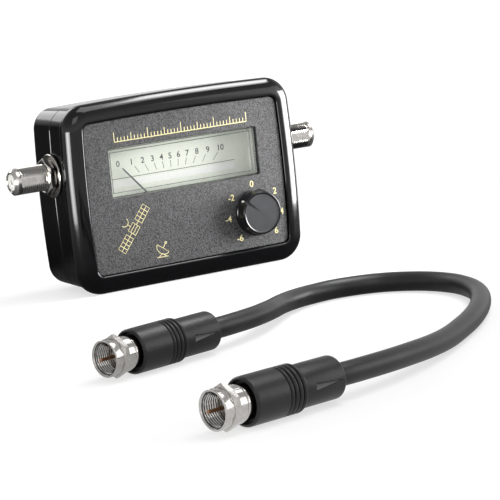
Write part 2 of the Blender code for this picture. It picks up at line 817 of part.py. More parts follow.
def jewel_screw(name, place, rotation, colour):
    """A slotted bearing screw with a cup for the spindle's end."""
    profile = [(0, jewel_cup_depth), (jewel_cup_radius, jewel_cup_depth), (jewel_cup_radius, 0),
               (jewel_radius, 0), (jewel_radius, jewel_length), (0, jewel_length)]
    screw = add(name, turned(profile, small_steps), colour, place, rotation)
    half = jewel_slot_width / 2
    reach = jewel_radius + overrun
    slot = box((-half, -reach, jewel_length - jewel_slot_depth), (half, reach, jewel_length + overrun))
    cut(screw, add(f"{name}_slot_cutter", slot, None, place, rotation))


def make_bearings(colour):
    """The bridge over the needle's hub, and the two bearing screws."""
    width = 2 * (bridge_post_side + bridge_post_radius)
    outline = rounded_rectangle(width, bridge_height, bridge_height / 4, (pivot_x, pivot_z))
    bridge = add("pivot_bridge", prism(outline, bridge_front_y, bridge_back_y), colour["brass"])
    hole = rod(jewel_radius + fit_gap, -overrun, bridge_thickness + overrun, small_steps)
    cut(bridge, add("bridge_hole_cutter", hole, None, (pivot_x, bridge_back_y, pivot_z), facing_front))
    jewel_screw("jewel_screw_front", (pivot_x, bridge_back_y, pivot_z), facing_front, colour["brass"])
    jewel_screw("jewel_screw_rear", (pivot_x, tray_floor_y, pivot_z), facing_back, colour["brass"])


def make_gain_control(colour):
    """The control under the knob: its can with a threaded bush, its nut, shaft and knob."""
    place = (knob_x, face_y, knob_z)
    turn = (quarter, pot_turn, 0)
    can_back = face_y - pot_back_y
    can_front = can_back + pot_depth
    can_floor = can_back + pot_wall
    bore = shaft_radius + fit_gap
    can = turned([
        (0, can_back), (pot_radius, can_back), (pot_radius, can_front), (bush_radius, can_front),
        (bush_radius, bush_height), (bore, bush_height), (bore, can_floor), (0, can_floor),
    ])
    pot = add("potentiometer", can, colour["tin"], place, turn)
    half = pot_tag_width / 2
    for index in (-1, 0, 1):
        middle = index * pot_tag_spacing
        tag = box((middle - half, -pot_radius - pot_tag_length, can_back),
                  (middle + half, -pot_radius / 2, can_back + pot_tag_width))
        join(pot, add(f"pot_tag_{index + 1}", tag, None, place, turn))

    nut = hex_nut(pot_nut_flats, bush_radius + fit_gap, fit_gap, fit_gap + pot_nut_thickness)
    add("potentiometer_nut", nut, colour["nickel"], place, facing_front)

    axis = link("knob_axis", None, None, place, (quarter, -pointer_angle, 0))
    shaft = rod(shaft_radius, can_floor + fit_gap, knob_lift + knob_bore_depth - fit_gap)
    add("potentiometer_shaft", shaft, colour["tin"], parent=axis)
    add_knob(axis, colour)


def add_knob(axis, colour):
    """The knob: a skirted, dished cap with a notch that points at the scale."""
    foot = knob_lift
    top = knob_lift + knob_height
    round_middle = (knob_radius - knob_edge_radius, top - knob_edge_radius)
    edge = arc(round_middle, (knob_edge_radius, knob_edge_radius), 0, quarter, edge_steps)
    profile = [
        (knob_hollow_radius, foot), (knob_skirt_radius, foot), (knob_skirt_radius, foot + knob_skirt_height),
        (knob_foot_radius, foot + knob_skirt_height),
    ] + edge + [
        (knob_radius - 2 * knob_edge_radius, top - knob_dish_depth), (0, top - knob_dish_depth),
    ]
    bore = shaft_radius + fit_gap
    under = [
        (0, foot + knob_bore_depth), (bore, foot + knob_bore_depth), (bore, foot + knob_hollow_depth),
        (knob_hollow_radius, foot + knob_hollow_depth),
    ]
    knob = add("knob", turned(under + profile, fine_steps), colour["knob"], parent=axis)
    half = notch_width / 2
    point = notch_point_width / 2
    floor = top - knob_dish_depth
    reach = knob_skirt_radius + overrun
    side = [(point, notch_inner_radius, floor), (half, reach, floor - notch_depth),
            (half, reach, top + overrun), (point, notch_inner_radius, top + overrun)]
    wedge = skin([[Vector((turn * x, y, z)) for x, y, z in side] for turn in (-1, 1)])
    cut(knob, add("knob_notch_cutter", wedge, None, parent=axis))


def make_socket(side, name, colour):
    """One coaxial socket with its flange inside the wall, and its washer and nut outside."""
    turn = (0, side * quarter, 0)
    place = (side * body_side_x, seam_y, socket_z)
    inner_face = -case_wall - fit_gap
    flange_back = inner_face - socket_flange_thickness
    tail_end = flange_back - socket_tail
    barrel = turned([
        (socket_bore_radius, tail_end), (socket_radius, tail_end), (socket_radius, flange_back),
        (socket_flange_radius, flange_back), (socket_flange_radius, inner_face), (socket_radius, inner_face),
        (socket_radius, socket_length - socket_chamfer), (socket_radius - socket_chamfer, socket_length),
        (socket_bore_radius, socket_length),
    ], round_steps, closed=True)
    add(f"socket_{name}", barrel, colour["nickel"], place, turn)
    washer_start = fit_gap
    washer_end = washer_start + washer_thickness
    washer = sleeve(washer_radius, socket_radius + fit_gap, washer_start, washer_end)
    add(f"socket_washer_{name}", washer, colour["nickel"], place, turn)
    nut_start = washer_end + seam_gap
    nut = hex_nut(nut_flats, socket_radius + fit_gap, nut_start, nut_start + nut_thickness)
    add(f"socket_nut_{name}", nut, colour["nickel"], place, turn)
    core_end = socket_length - insulator_recess
    core = sleeve(socket_bore_radius - fit_gap, contact_radius + fit_gap, tail_end, core_end)
    add(f"socket_insulator_{name}", core, colour["insulator"], place, turn)
    contact = rod(contact_radius, tail_end - contact_tail, socket_length - contact_recess, small_steps)
    add(f"socket_contact_{name}", contact, colour["brass"], place, turn)


def make_electronics(colour):
    """The circuit board on its posts, with the shielded tuner, the buzzer and two screws."""
    low = (-board_half_width, board_front_y, case_middle - board_half_height)
    high = (board_half_width, board_back_y, case_middle + board_half_height)
    board = add("circuit_board", box(low, high), colour["board"])
    for index, side in enumerate((-1, 1)):
        place = (side * board_hole_x, board_front_y, case_middle + side * board_hole_rise)
        hole = rod(board_screw_radius + fit_gap, -board_thickness - overrun, overrun, small_steps)
        cut(board, add(f"board_hole_cutter_{index}", hole, None, place, facing_front))
        screw(f"board_screw_{index + 1}", place, facing_front, board_screw_radius, board_screw_head_radius,
              board_screw_head_height, board_screw_length, colour["screw"])

    seat = board_front_y - fit_gap
    top = meter_shoulder_z - shield_top_gap
    low_corner = Vector((shield_from_edge - board_half_width, seat - shield_depth, top - shield_height))
    high_corner = Vector((pivot_x - stem_half_width - shield_from_meter, seat, top))
    shield = add("tuner_shield", box(low_corner, high_corner), colour["tin"])
    wall = Vector((shield_wall, shield_wall, shield_wall))
    open_side = Vector((0, shield_wall + overrun, 0))
    inside = box(low_corner + wall, high_corner - wall + open_side)
    cut(shield, add("shield_cutter", inside, None))

    height = seat - pot_back_y - buzzer_front_gap
    buzzer = turned([
        (0, 0), (buzzer_radius, 0), (buzzer_radius, height), (buzzer_hole_radius, height),
        (buzzer_hole_radius, height - buzzer_hole_depth), (0, height - buzzer_hole_depth),
    ])
    add("buzzer", buzzer, colour["black"], (knob_x, seat, knob_z), facing_front)


def screw(name, place, rotation, radius, head_radius, head_height, length, colour):
    """A cross-head screw whose head stands on the place and whose shank runs behind it."""
    half = head_height / 2
    edge = arc((head_radius - half, fit_gap + half), (half, half), 0, quarter, edge_steps)
    profile = [(0, -length), (radius / 2, -length), (radius, -length + radius), (radius, fit_gap),
               (head_radius, fit_gap)] + edge + [(0, fit_gap + head_height)]
    made = add(name, turned(profile, small_steps), colour, place, rotation)
    half = cross_slot_width / 2
    top = fit_gap + head_height
    for index in (0, 1):
        reach = (half, head_radius / 2) if index else (head_radius / 2, half)
        slot = box((-reach[0], -reach[1], top - cross_slot_depth), (reach[0], reach[1], top + overrun))
        cut(made, add(f"{name}_slot_{index}", slot, None, place, rotation))


def make_case_screws(colour):
    """The four screws that clamp the rear cover to the front shell."""
    for index, (x, z) in enumerate(corner_places(column_x, column_rise)):
        screw(f"case_screw_{index + 1}", (x, back_y - counterbore_depth, z), facing_back, case_screw_radius,
              case_screw_head_radius, case_screw_head_height, case_screw_length, colour["screw"])


def boot_profile():
    """The moulded boot: a narrower slotted rear, grip rings, and a plain front with a hollow mouth."""
    edge = boot_edge_radius
    rings_end = boot_rear_length + boot_ring_zone
    pitch = boot_ring_zone / boot_ring_count
    groove = pitch * boot_ring_groove_share
    low_radius = boot_radius - boot_ring_depth
    profile = [(0, 0)] + arc((boot_rear_radius - edge, edge), (edge, edge), -quarter, 0, edge_steps)
    profile.append((boot_rear_radius, boot_rear_length - groove))
    for ring in range(boot_ring_count):
        start = boot_rear_length + ring * pitch
        profile += [
            (low_radius, start), (boot_radius, start + groove / 2),
            (boot_radius, start + pitch - groove), (low_radius, start + pitch - groove / 2),
        ]
    profile.append((boot_radius, rings_end + groove / 2))
    profile += arc((boot_radius - edge, boot_length - edge), (edge, edge), 0, quarter, edge_steps)
    floor = boot_length - boot_mouth_depth
    core_floor = floor - ferrule_depth
    bore = ferrule_radius + fit_gap
    profile += [(boot_mouth_radius, boot_length), (boot_mouth_radius, floor), (bore, floor),
                (bore, core_floor), (0, core_floor)]
    return profile


def make_plug(name, place, heading, colour):
    """One screw-on plug: boot, ferrule, free-turning nut, dielectric and centre pin."""
    axis = link(f"plug_{name}_axis", None, None, place, (0, quarter, heading))
    boot = add(f"plug_boot_{name}", turned(boot_profile(), boot_steps), colour["boot"], parent=axis)
    half = boot_slot_width / 2
    for index in range(boot_slot_count):
        turn = boot_slot_turn + 2 * math.pi * index / boot_slot_count
        low = boot_rear_radius - boot_slot_depth
        high = boot_rear_radius + overrun
        far = boot_slot_start + boot_slot_length
        corners = ((0, boot_slot_start), (half, far), (-half, far))
        slot = skin([[Vector((x, y, z)) for y, z in corners] for x in (low, high)])
        cut(boot, add(f"boot_slot_{name}_{index}", slot, None, rotation=(0, 0, turn), parent=axis))

    mouth_floor = boot_length - boot_mouth_depth
    core_start = mouth_floor - ferrule_depth + fit_gap
    nut_start = mouth_floor + fit_gap
    thread_floor = plug_length - plug_nut_thread_depth
    flange_start = thread_floor + fit_gap
    flange_end = flange_start + ferrule_flange_thickness
    ferrule = turned([
        (ferrule_bore_radius, core_start), (ferrule_radius, core_start), (ferrule_radius, flange_start),
        (ferrule_flange_radius, flange_start), (ferrule_flange_radius, flange_end),
        (ferrule_bore_radius, flange_end),
    ], nut_steps, closed=True)
    add(f"plug_ferrule_{name}", ferrule, colour["nickel"], parent=axis)
    add_plug_nut(name, nut_start, thread_floor, axis, colour)
    core = sleeve(dielectric_radius, plug_pin_radius + fit_gap, core_start, flange_end + fit_gap, small_steps)
    add(f"plug_dielectric_{name}", core, colour["insulator"], parent=axis)
    tip = plug_length + plug_pin_reach
    shoulder = tip - plug_pin_radius
    pin = turned([(0, core_start), (plug_pin_radius, core_start), (plug_pin_radius, shoulder), (0, tip)],
                 small_steps)
    add(f"plug_pin_{name}", pin, colour["copper"], parent=axis)


def add_plug_nut(name, start, thread_floor, axis, colour):
    """The nut: a tail and a groove, a round body, a thin hexagon, and a round collar at its mouth."""
    steps = nut_steps
    bore = ferrule_radius + fit_gap
    hex_end = plug_length - plug_nut_collar_length - plug_nut_shoulder
    hex_start = hex_end - plug_nut_hex_length
    body_start = hex_start - plug_nut_body_length
    tail_end = body_start - plug_nut_groove_width
    groove_radius = plug_nut_tail_radius - plug_nut_groove_depth
    limit = plug_nut_flats / 2 * nut_chamfer_share
    nut = skin([
        circle(bore, start, steps),
        circle(plug_nut_tail_radius, start, steps),
        circle(plug_nut_tail_radius, tail_end, steps),
        circle(groove_radius, tail_end, steps),
        circle(groove_radius, body_start, steps),
        circle(plug_nut_body_radius, body_start, steps),
        circle(plug_nut_body_radius, hex_start, steps),
        hexagon_ring(plug_nut_flats, limit, hex_start, 0, steps),
        hexagon_ring(plug_nut_flats, limit, hex_start, 1, steps),
        hexagon_ring(plug_nut_flats, limit, hex_end, -1, steps),
        hexagon_ring(plug_nut_flats, limit, hex_end, 0, steps),
        circle(plug_nut_collar_radius, plug_length - plug_nut_collar_length, steps),
        circle(plug_nut_collar_radius, plug_length - fit_gap, steps),
        circle(plug_nut_collar_radius - fit_gap, plug_length, steps),
        circle(plug_nut_thread_radius, plug_length, steps),
        circle(plug_nut_thread_radius, thread_floor, steps),
        circle(bore, thread_floor, steps),
    ], closed=True)
    add(f"plug_nut_{name}", nut, colour["nickel"], parent=axis)


def smooth_path(route, steps):
    """Evenly shared points on a Catmull-Rom curve through the route."""
    places = [Vector(point) for point in route]
    places = [2 * places[0] - places[1]] + places + [2 * places[-1] - places[-2]]
    path = []
    spans = len(places) - 3
    for step in range(steps + 1):
        along = spans * step / steps
        span = min(int(along), spans - 1)
        share = along - span
        before, start, end, after = places[span:span + 4]
        path.append((2 * start + (end - before) * share
                     + (2 * before - 5 * start + 4 * end - after) * share ** 2
                     + (3 * start - before - 3 * end + after) * share ** 3) / 2)
    return path


def make_lead(colour):
    """The patch lead: its cable between the two boots' rear faces, and a plug on each end."""
    first = Vector(lead_route[0])
    last = Vector(lead_route[-1])
    for name, end, heading in (("a", first, plug_a_heading), ("b", last, plug_b_heading)):
        away = Vector((math.cos(heading), math.sin(heading), 0))
        make_plug(name, end + away * fit_gap, heading, colour)
    tube("lead_cable", smooth_path(lead_route, cable_steps), cable_radius, cable_resolution, colour["cable"])


def build():
    for old in list(bpy.data.objects):
        bpy.data.objects.remove(old, do_unlink=True)
    colour = make_colours()
    make_front_shell(colour)
    make_rear_cover(colour)
    make_face_plate(colour)
    make_meter_housing(colour)
    make_dial(colour)
    make_magnet(colour)
    make_pointer(colour)
    make_bearings(colour)
    make_gain_control(colour)
    for side, name in ((-1, "left"), (1, "right")):
        make_socket(side, name, colour)
    make_electronics(colour)
    make_case_screws(colour)
    make_lead(colour)


build()
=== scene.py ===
"""Looks of the satellite signal meter and its patch lead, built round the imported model.

All sizes are in metres, in the model's frame: the front faces -Y, +X is to the right.
Places come from the model's boxes and joints; the sizes below are those of its surfaces.
"""

import json
import math

import bmesh
import bpy
from mathutils import Euler, Matrix, Vector


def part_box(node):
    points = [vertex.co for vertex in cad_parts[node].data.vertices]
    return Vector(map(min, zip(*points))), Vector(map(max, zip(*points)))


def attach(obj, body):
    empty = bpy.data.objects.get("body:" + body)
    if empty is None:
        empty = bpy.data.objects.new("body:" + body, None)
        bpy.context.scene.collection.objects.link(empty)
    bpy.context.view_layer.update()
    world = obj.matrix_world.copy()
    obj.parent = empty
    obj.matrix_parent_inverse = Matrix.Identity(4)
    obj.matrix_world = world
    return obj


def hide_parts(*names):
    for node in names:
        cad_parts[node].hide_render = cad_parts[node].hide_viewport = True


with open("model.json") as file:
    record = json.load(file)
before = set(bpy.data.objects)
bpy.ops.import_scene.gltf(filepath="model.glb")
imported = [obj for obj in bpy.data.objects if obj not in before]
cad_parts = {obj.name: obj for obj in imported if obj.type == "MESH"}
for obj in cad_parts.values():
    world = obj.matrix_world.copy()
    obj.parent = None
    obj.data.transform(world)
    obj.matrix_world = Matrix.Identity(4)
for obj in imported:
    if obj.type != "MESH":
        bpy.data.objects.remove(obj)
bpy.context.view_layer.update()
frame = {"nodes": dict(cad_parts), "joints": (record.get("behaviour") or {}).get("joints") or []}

# Case
rim_width = 0.0069
rim_lip = 0.0006
rim_side_depth = 0.0043
rim_back_radius = 0.0006
rim_step_depth = 0.0050
rim_step = 0.0010
side_draft = 0.0004
side_bow = 0.0006
case_corner_radius = 0.0093
case_wall = 0.0022
front_wall = 0.0020
back_wall = 0.0022
rear_edge_radius = 0.0030
inner_corner_radius = 0.0010
face_edge = 0.00015
fit_gap = 0.0003
overrun = 0.0020

# Window and meter cover
window_from_left = 0.0094
window_from_right = 0.0096
window_from_top = 0.0103
window_from_bottom = 0.0261
window_corner_radius = 0.0008
cover_wall = 0.0012
cover_edge = 0.00025
cover_margin = 0.0030
# Facing limits that pick the cover's side walls for a painted glow and its slanted front edges for
# a painted dark line
cover_wall_facing = 0.3
cover_edge_facing = 0.9

# Knob
knob_lift = 0.0005
knob_height = 0.0048
knob_radius = 0.0078
knob_foot_radius = 0.0081
knob_skirt_radius = 0.0084
knob_skirt_height = 0.0012
knob_edge_radius = 0.0005
knob_top_border = 0.0011
knob_dish_depth = 0.0003
knob_hollow_radius = 0.0063
knob_hollow_depth = 0.0017
knob_bore_radius = 0.0033
knob_bore_depth = 0.0036
notch_width = 0.0017
notch_point_width = 0.0006
notch_depth = 0.0012
notch_inner_radius = 0.0018
notch_finish_depth = 0.00126
pointer_angle = math.radians(52)
pointer_line_width = 0.0007
pointer_line_start = 0.0016
pointer_line_sink = 0.00012
bush_radius = 0.0037

# Threads, nuts and sockets
thread_pitch = 0.000794
thread_depth = 0.00042
# The painted shade covers the socket thread deeper than this share of the thread depth, measured in
# from the outer radius
shade_line_depth_share = 0.60
socket_radius = 0.00475
socket_chamfer = 0.0010
socket_cap = 0.0014
socket_flat = 0.0041
off_flat_share = 0.99
socket_bore_radius = 0.0032
socket_flange_radius = 0.0062
socket_flange_thickness = 0.0016
socket_tail = 0.0020
nut_flats = 0.0118
nut_chamfer_share = 0.95
nut_chamfer_angle = math.radians(30)
washer_radius = 0.0078
washer_edge = 0.0002

# Screws
column_x_from_side = 0.0086
counterbore_radius = 0.0030
counterbore_depth = 0.0034
screw_radius = 0.0014
screw_head_radius = 0.0027
screw_head_height = 0.0018
cross_slot_width = 0.0008
cross_slot_depth = 0.0009
cross_slot_reach_share = 0.62
cross_slot_floor_share = 0.55

# Patch lead, measured from each boot's rear face to its mouth
cable_radius = 0.00325
boot_radius = 0.0068
boot_length = 0.0325
boot_rear_radius = 0.0060
boot_rear_length = 0.0145
boot_ring_zone = 0.0062
boot_ring_count = 4
boot_ring_depth = 0.0009
boot_ridge_share = 0.94
boot_edge_radius = 0.0010
boot_mouth_turn = math.radians(75)
boot_mouth_radius = 0.0059
boot_mouth_depth = 0.0020
boot_bore_radius = 0.0037
boot_slot_count = 2
boot_slot_turn = math.radians(92)
boot_slot_width = 0.0022
boot_slot_depth = 0.0015
boot_slot_start = 0.0012
boot_slot_length = 0.0100
boot_slot_deep_share = 0.9
boot_slot_flare = 1.2
ferrule_depth = 0.0130
plug_nut_length = 0.0115
plug_nut_collar_radius = 0.0056
plug_nut_collar_length = 0.0028
plug_nut_shoulder = 0.0003
plug_nut_flats = 0.0114
plug_nut_hex_length = 0.0022
plug_nut_body_radius = 0.0053
plug_nut_body_length = 0.0026
plug_nut_groove_width = 0.0004
plug_nut_groove_depth = 0.0005
plug_nut_thread_radius = 0.0048
plug_nut_thread_depth = 0.0068
# The painted shade covers the nut's inner thread from its outer radius in to this share of the
# thread depth
plug_nut_shade_line_depth_share = 0.42
plug_nut_tail_radius = 0.0050
plug_nut_lip = 0.00025
plug_pin_radius = 0.0005
plug_pin_reach = 0.0020
plug_headings = {"a": math.radians(194.8), "b": math.radians(191.2)}
lead_route = [
    (-0.0658, -0.1409, 0.0068), (-0.0590, -0.1388, 0.0067), (-0.0471, -0.1330, 0.0063),
    (-0.0376, -0.1256, 0.0056), (-0.0305, -0.1187, 0.0049), (-0.0240, -0.1121, 0.0043),
    (-0.0164, -0.1061, 0.0038), (-0.0067, -0.1010, 0.00335), (0.0059, -0.0992, 0.00325),
    (0.0194, -0.1038, 0.00325), (0.0285, -0.1146, 0.00325), (0.0317, -0.1274, 0.00325),
    (0.0302, -0.1397, 0.00325), (0.0257, -0.1513, 0.00325), (0.0186, -0.1626, 0.00325),
    (0.0098, -0.1737, 0.00325), (-0.0002, -0.1843, 0.00325), (-0.0110, -0.1943, 0.00335),
    (-0.0222, -0.2039, 0.0036), (-0.0338, -0.2128, 0.0044), (-0.0460, -0.2207, 0.0054),
    (-0.0587, -0.2273, 0.0062), (-0.0727, -0.2322, 0.0067), (-0.0796, -0.2335, 0.0068),
]

# Print on the face plate, measured from its top left corner
print_lift = 0.00003
gold_line = 0.00019
gold_number_weight = 0.007
rule_line = 0.000266
rule_left = 0.0123
rule_right = 0.0658
rule_base = 0.0081
rule_height = 0.0034
rule_marks = 41
# At every so many marks, the mark's share of the height
rule_mark_shares = ((10, 1.0), (5, 0.75), (1, 0.45))
gain_labels = (
    ("-6", 0.0190, 0.0113), ("-4", 0.0150, 0.0188), ("-2", 0.0170, 0.0263), ("0", 0.0259, 0.0301),
    ("2", 0.0352, 0.0262), ("4", 0.0373, 0.0184), ("6", 0.0343, 0.0118),
)
gain_label_height = 0.0023
craft_place = (0.0163, 0.0395)
craft_tilt = math.radians(52)
craft_body = 0.0017
craft_panel_reach = (0.0032, 0.0092)
craft_panel_half = 0.0016
craft_mast = 0.0030
craft_aerial = 0.00153
dish_place = (0.0269, 0.0481)
dish_tilt = math.radians(35)
dish_bowl = 0.0027
# The dish's other sizes are shares of its bowl's radius
dish_flatness = 0.75
dish_feed = 0.8
dish_feed_radius = 1 / 7
dish_stand = (((-0.2, -0.7), (-0.75, -1.15)), ((-0.2, -0.7), (0.45, -1.15)),
              ((-1.0, -1.15), (0.7, -1.15)))

# Print on the dial, measured from the needle's pivot
dial_ink_width = 0.00022
dial_number_count = 11
dial_number_rise = 0.0242
dial_number_height = 0.0021
dial_number_weight = 0.016
dial_first_angle = math.radians(-41)
dial_step_angle = math.radians(8.2)
dial_tick_rises = (0.0200, 0.0225)
dial_line_rise = 0.0189
dial_line_right = 0.0261
dial_strip_rises = (0.0158, 0.0181)
dial_strip_roundness = 2.2
dial_card_edge = 0.0008
font_digit_height = 0.71
font_weld = 0.001
font_steps = 6
stroke_rounding = 2

# Floor, light and camera
white = (1, 1, 1, 1)
floor_reach = 6.0
floor_pale = 0.42
floor_mottle = 0.01
floor_glow = 0.64
floor_glow_far = 0.95
floor_glow_reach = (0.25, 0.9)
floor_mirrored_dark = 0.05
floor_mirrored_light = 0.70
# Painted shade that mirrors see on the floor close to the object, and the distances over which it
# fades out
floor_mirrored_near = 0.10
floor_near_reach = (0.06, 0.26)
dark_way = (-0.483, 0.863, -0.15)
dark_shares = (0.86, 0.95)
white_strength = 1.0
world_strength = 0.42
mirrored_levels = ((0.0, 1.0), (0.15, 0.9), (0.45, 0.5), (1.0, 0.3))
lamp_target = (0, -0.06, 0.03)
# Name, place, target, width, height, power and spread in degrees
lamps = (
    ("key_box", (0.25, -0.25, 0.90), lamp_target, 0.6, 0.6, 3.4, 180),
    ("front_box", (-0.35, -1.10, 0.75), lamp_target, 0.5, 0.5, 1.4, 180),
    ("side_box", (0.80, -0.58, 0.29), lamp_target, 0.9, 0.5, 1.8, 180),
    ("back_box", (-0.09, 0.72, 0.48), lamp_target, 0.5, 0.35, 1.2, 180),
    ("top_strip", (0.145, -0.026, 0.30), (0, -0.014, 0.06), 0.19, 0.09, 0.070, 50),
    ("right_strip", (0.17, -0.055, 0.039), (0.046, -0.012, 0.029), 0.11, 0.105, 0.17, 60),
    ("left_strip", (-0.18, -0.09, 0.032), (-0.046, -0.012, 0.032), 0.11, 0.06, 0.030, 50),
)
camera_place = Vector((-0.41937, -0.80193, 0.14358))
camera_right = Vector((0.86037, -0.49955, -0.10104))
camera_up = Vector((0.16214, 0.08033, 0.98349))
camera_back = Vector((-0.48319, -0.86255, 0.15012))
camera_lens = 181.9
camera_sensor = 36

# Numbers of steps
corner_steps = 18
side_steps = 12
rim_steps = 20
edge_steps = 5
small_arc_steps = 8
ridge_steps = 10
aerial_steps = 10
dish_steps = 14
round_steps = 96
screw_steps = 48
pin_steps = 24
thread_turn_steps = 8
cable_steps = 260
cable_rounding = 10

quarter = math.pi / 2
full_turn = 2 * math.pi
smooth_angle = math.radians(32)
# A face points a way when more than this share of its normal does
facing_share = 0.5
square = ((-1, -1), (1, -1), (1, 1), (-1, 1))

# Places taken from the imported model
joints = {joint["name"]: joint for joint in frame["joints"]}
shell_low, shell_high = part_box("front_shell")
cover_low, cover_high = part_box("rear_cover")
plate_low, plate_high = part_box("face_plate")
housing_low, housing_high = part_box("meter_cover")
dial_low, dial_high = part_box("dial_plate")
pivot = Vector(joints["needle_swing"]["pos_m"])
knob_place = Vector(joints["knob_turn"]["pos_m"])
case_width = 2 * shell_high.x
case_height = shell_high.z
case_middle = case_height / 2
crest_y = shell_low.y
face_y = plate_low.y
back_y = cover_high.y
body_inset = rim_step + side_draft
window_low = (plate_low.x + window_from_left, plate_low.z + window_from_bottom)
window_high = (plate_high.x - window_from_right, plate_high.z - window_from_top)


# Making meshes

def polar(radius, angle, along):
    """A point about local Z."""
    return Vector((radius * math.cos(angle), radius * math.sin(angle), along))


def skin(rings, closed=False):
    """A mesh through rings of points; a ring of one point closes an end, and so does a cap."""
    mesh = bmesh.new()
    loops = [[mesh.verts.new(point) for point in ring] for ring in rings]
    following = loops[1:] + (loops[:1] if closed else [])
    for near, far in zip(loops, following):
        count = max(len(near), len(far))
        for index in range(count):
            after = (index + 1) % count
            corners = []
            for loop, order in ((near, (index, after)), (far, (after, index))):
                for place in order[:len(loop)]:
                    corners.append(loop[place] if len(loop) > 1 else loop[0])
            mesh.faces.new(corners)
    if not closed:
        for loop in (loops[0], loops[-1]):
            if len(loop) > 1:
                mesh.faces.new(loop)
    return mesh


def circle(radius, along, steps=round_steps):
    """Points of a circle about local Z, or the one point on the axis."""
    if radius == 0:
        return [Vector((0, 0, along))]
    return [polar(radius, full_turn * index / steps, along) for index in range(steps)]


def circles(profile, steps=round_steps):
    """A circle for each (radius, along) pair."""
    return [circle(radius, along, steps) for radius, along in profile]


def turned(profile, steps=round_steps, closed=False):
    """A turned mesh about local Z, from (radius, along) pairs."""
    return skin(circles(profile, steps), closed)


def rod(radius, start, end):
    """A plain round bar about local Z."""
    return turned([(0, start), (radius, start), (radius, end), (0, end)])


def arc(middle, radii, start, end, steps=edge_steps):
    """Points on a stretch of an ellipse, both ends included."""
    points = []
    for index in range(steps + 1):
        angle = start + (end - start) * index / steps
        points.append((middle[0] + radii[0] * math.cos(angle),
                       middle[1] + radii[1] * math.sin(angle)))
    return points


def rounded_rectangle(low, high, radius):
    """An outline with round corners between two (x, z) corners."""
    points = []
    middle = [(low[axis] + high[axis]) / 2 for axis in (0, 1)]
    reach = [(high[axis] - low[axis]) / 2 - radius for axis in (0, 1)]
    for turn, (side, rise) in enumerate(((1, 1), (-1, 1), (-1, -1), (1, -1))):
        corner = (middle[0] + side * reach[0], middle[1] + rise * reach[1])
        points += arc(corner, (radius, radius), turn * quarter, (turn + 1) * quarter, corner_steps)
    return points


def flat_ring(outline, y):
    return [Vector((x, y, z)) for x, z in outline]


def rounded_ring(low, high, grow, radius, y):
    """A flat ring with round corners at a depth, moved out from two (x, z) corners."""
    low = [place - grow for place in low]
    high = [place + grow for place in high]
    return flat_ring(rounded_rectangle(low, high, radius), y)


def case_ring(inset, y):
    """The case's outline at a depth and an inset: top and sides bow out, the foot is straight."""
    radius = max(case_corner_radius - inset, inner_corner_radius)
    side = case_width / 2 - inset - side_bow
    corners = rounded_rectangle((-side, inset), (side, case_height - inset - side_bow), radius)
    outline = []
    for index, start in enumerate(corners):
        outline.append(start)
        if index % (corner_steps + 1) == corner_steps:
            end = corners[(index + 1) % len(corners)]
            outward = ((0, 1), (-1, 0), (0, 0), (1, 0))[index // (corner_steps + 1)]
            for step in range(1, side_steps):
                share = step / side_steps
                reach = side_bow * (1 - (2 * share - 1) ** 2)
                outline.append([start[axis] + (end[axis] - start[axis]) * share
                                + outward[axis] * reach for axis in (0, 1)])
    return flat_ring(outline, y)


def thread_rings(radius, start, end, flat=math.inf):
    """Rings of a thread about local Z that fades at both ends; two milled flats may cut it."""
    count = round(abs(end - start) / thread_pitch * thread_turn_steps)
    rings = []
    for index in range(1, count):
        along = start + (end - start) * index / count
        fade = min(1, abs(along - start) / thread_pitch, abs(end - along) / thread_pitch)
        ring = []
        for step in range(round_steps):
            phase = (abs(along - start) / thread_pitch - step / round_steps) % 1
            reach = radius - thread_depth * fade * abs(2 * phase - 1)
            point = polar(reach, full_turn * step / round_steps, along)
            point.y = max(-flat, min(flat, point.y))
            ring.append(point)
        rings.append(ring)
    return rings


def hexagon(flats, start, end):
    """Rings round a hexagon whose corners are chamfered at both ends."""
    limit = flats / 2 * nut_chamfer_share
    rings = []
    for along, drop in ((start, 0), (start, 1), (end, -1), (end, 0)):
        ring = []
        for index in range(round_steps):
            angle = full_turn * index / round_steps
            reach = flats / 2 / math.cos(angle % (math.pi / 3) - math.pi / 6)
            back = (reach - limit) * math.tan(nut_chamfer_angle)
            ring.append(polar(reach if drop else limit, angle, along + drop * back))
        rings.append(ring)
    return rings


def axis_matrix(place, rotation):
    return Matrix.Translation(place) @ Euler(rotation).to_matrix().to_4x4()


def backward(x, y, z):
    """A frame at a place whose local Z points to the back."""
    return axis_matrix((x, y, z), (-quarter, 0, 0))


def placed(mesh, matrix):
    """The mesh moved into place."""
    bmesh.ops.transform(mesh, matrix=matrix, verts=mesh.verts)
    return mesh


def linked(name, data):
    """A new object in the scene."""
    made = bpy.data.objects.new(name, data)
    bpy.context.scene.collection.objects.link(made)
    return made


def mesh_data(name, mesh):
    """Mesh data from an edited mesh, which is freed."""
    data = bpy.data.meshes.new(name)
    mesh.to_mesh(data)
    mesh.free()
    return data


def final_mesh(made, *tools):
    """The final mesh of a temporary object, to edit; the object and its tools are removed."""
    graph = bpy.context.evaluated_depsgraph_get()
    mesh = bmesh.new()
    mesh.from_mesh(made.evaluated_get(graph).to_mesh())
    for used in (made, *tools):
        data = used.data
        bpy.data.objects.remove(used, do_unlink=True)
        store = bpy.data.meshes if isinstance(data, bpy.types.Mesh) else bpy.data.curves
        store.remove(data)
    return mesh


def carve(mesh, cutters):
    """The mesh with each cutter taken away."""
    temporary = []
    for source in [mesh] + cutters:
        bmesh.ops.recalc_face_normals(source, faces=source.faces)
        temporary.append(linked("carved", mesh_data("carved", source)))
    target, *tools = temporary
    for tool in tools:
        change = target.modifiers.new("cut", "BOOLEAN")
        change.operation = "DIFFERENCE"
        change.solver = "EXACT"
        change.object = tool
    return final_mesh(target, *tools)


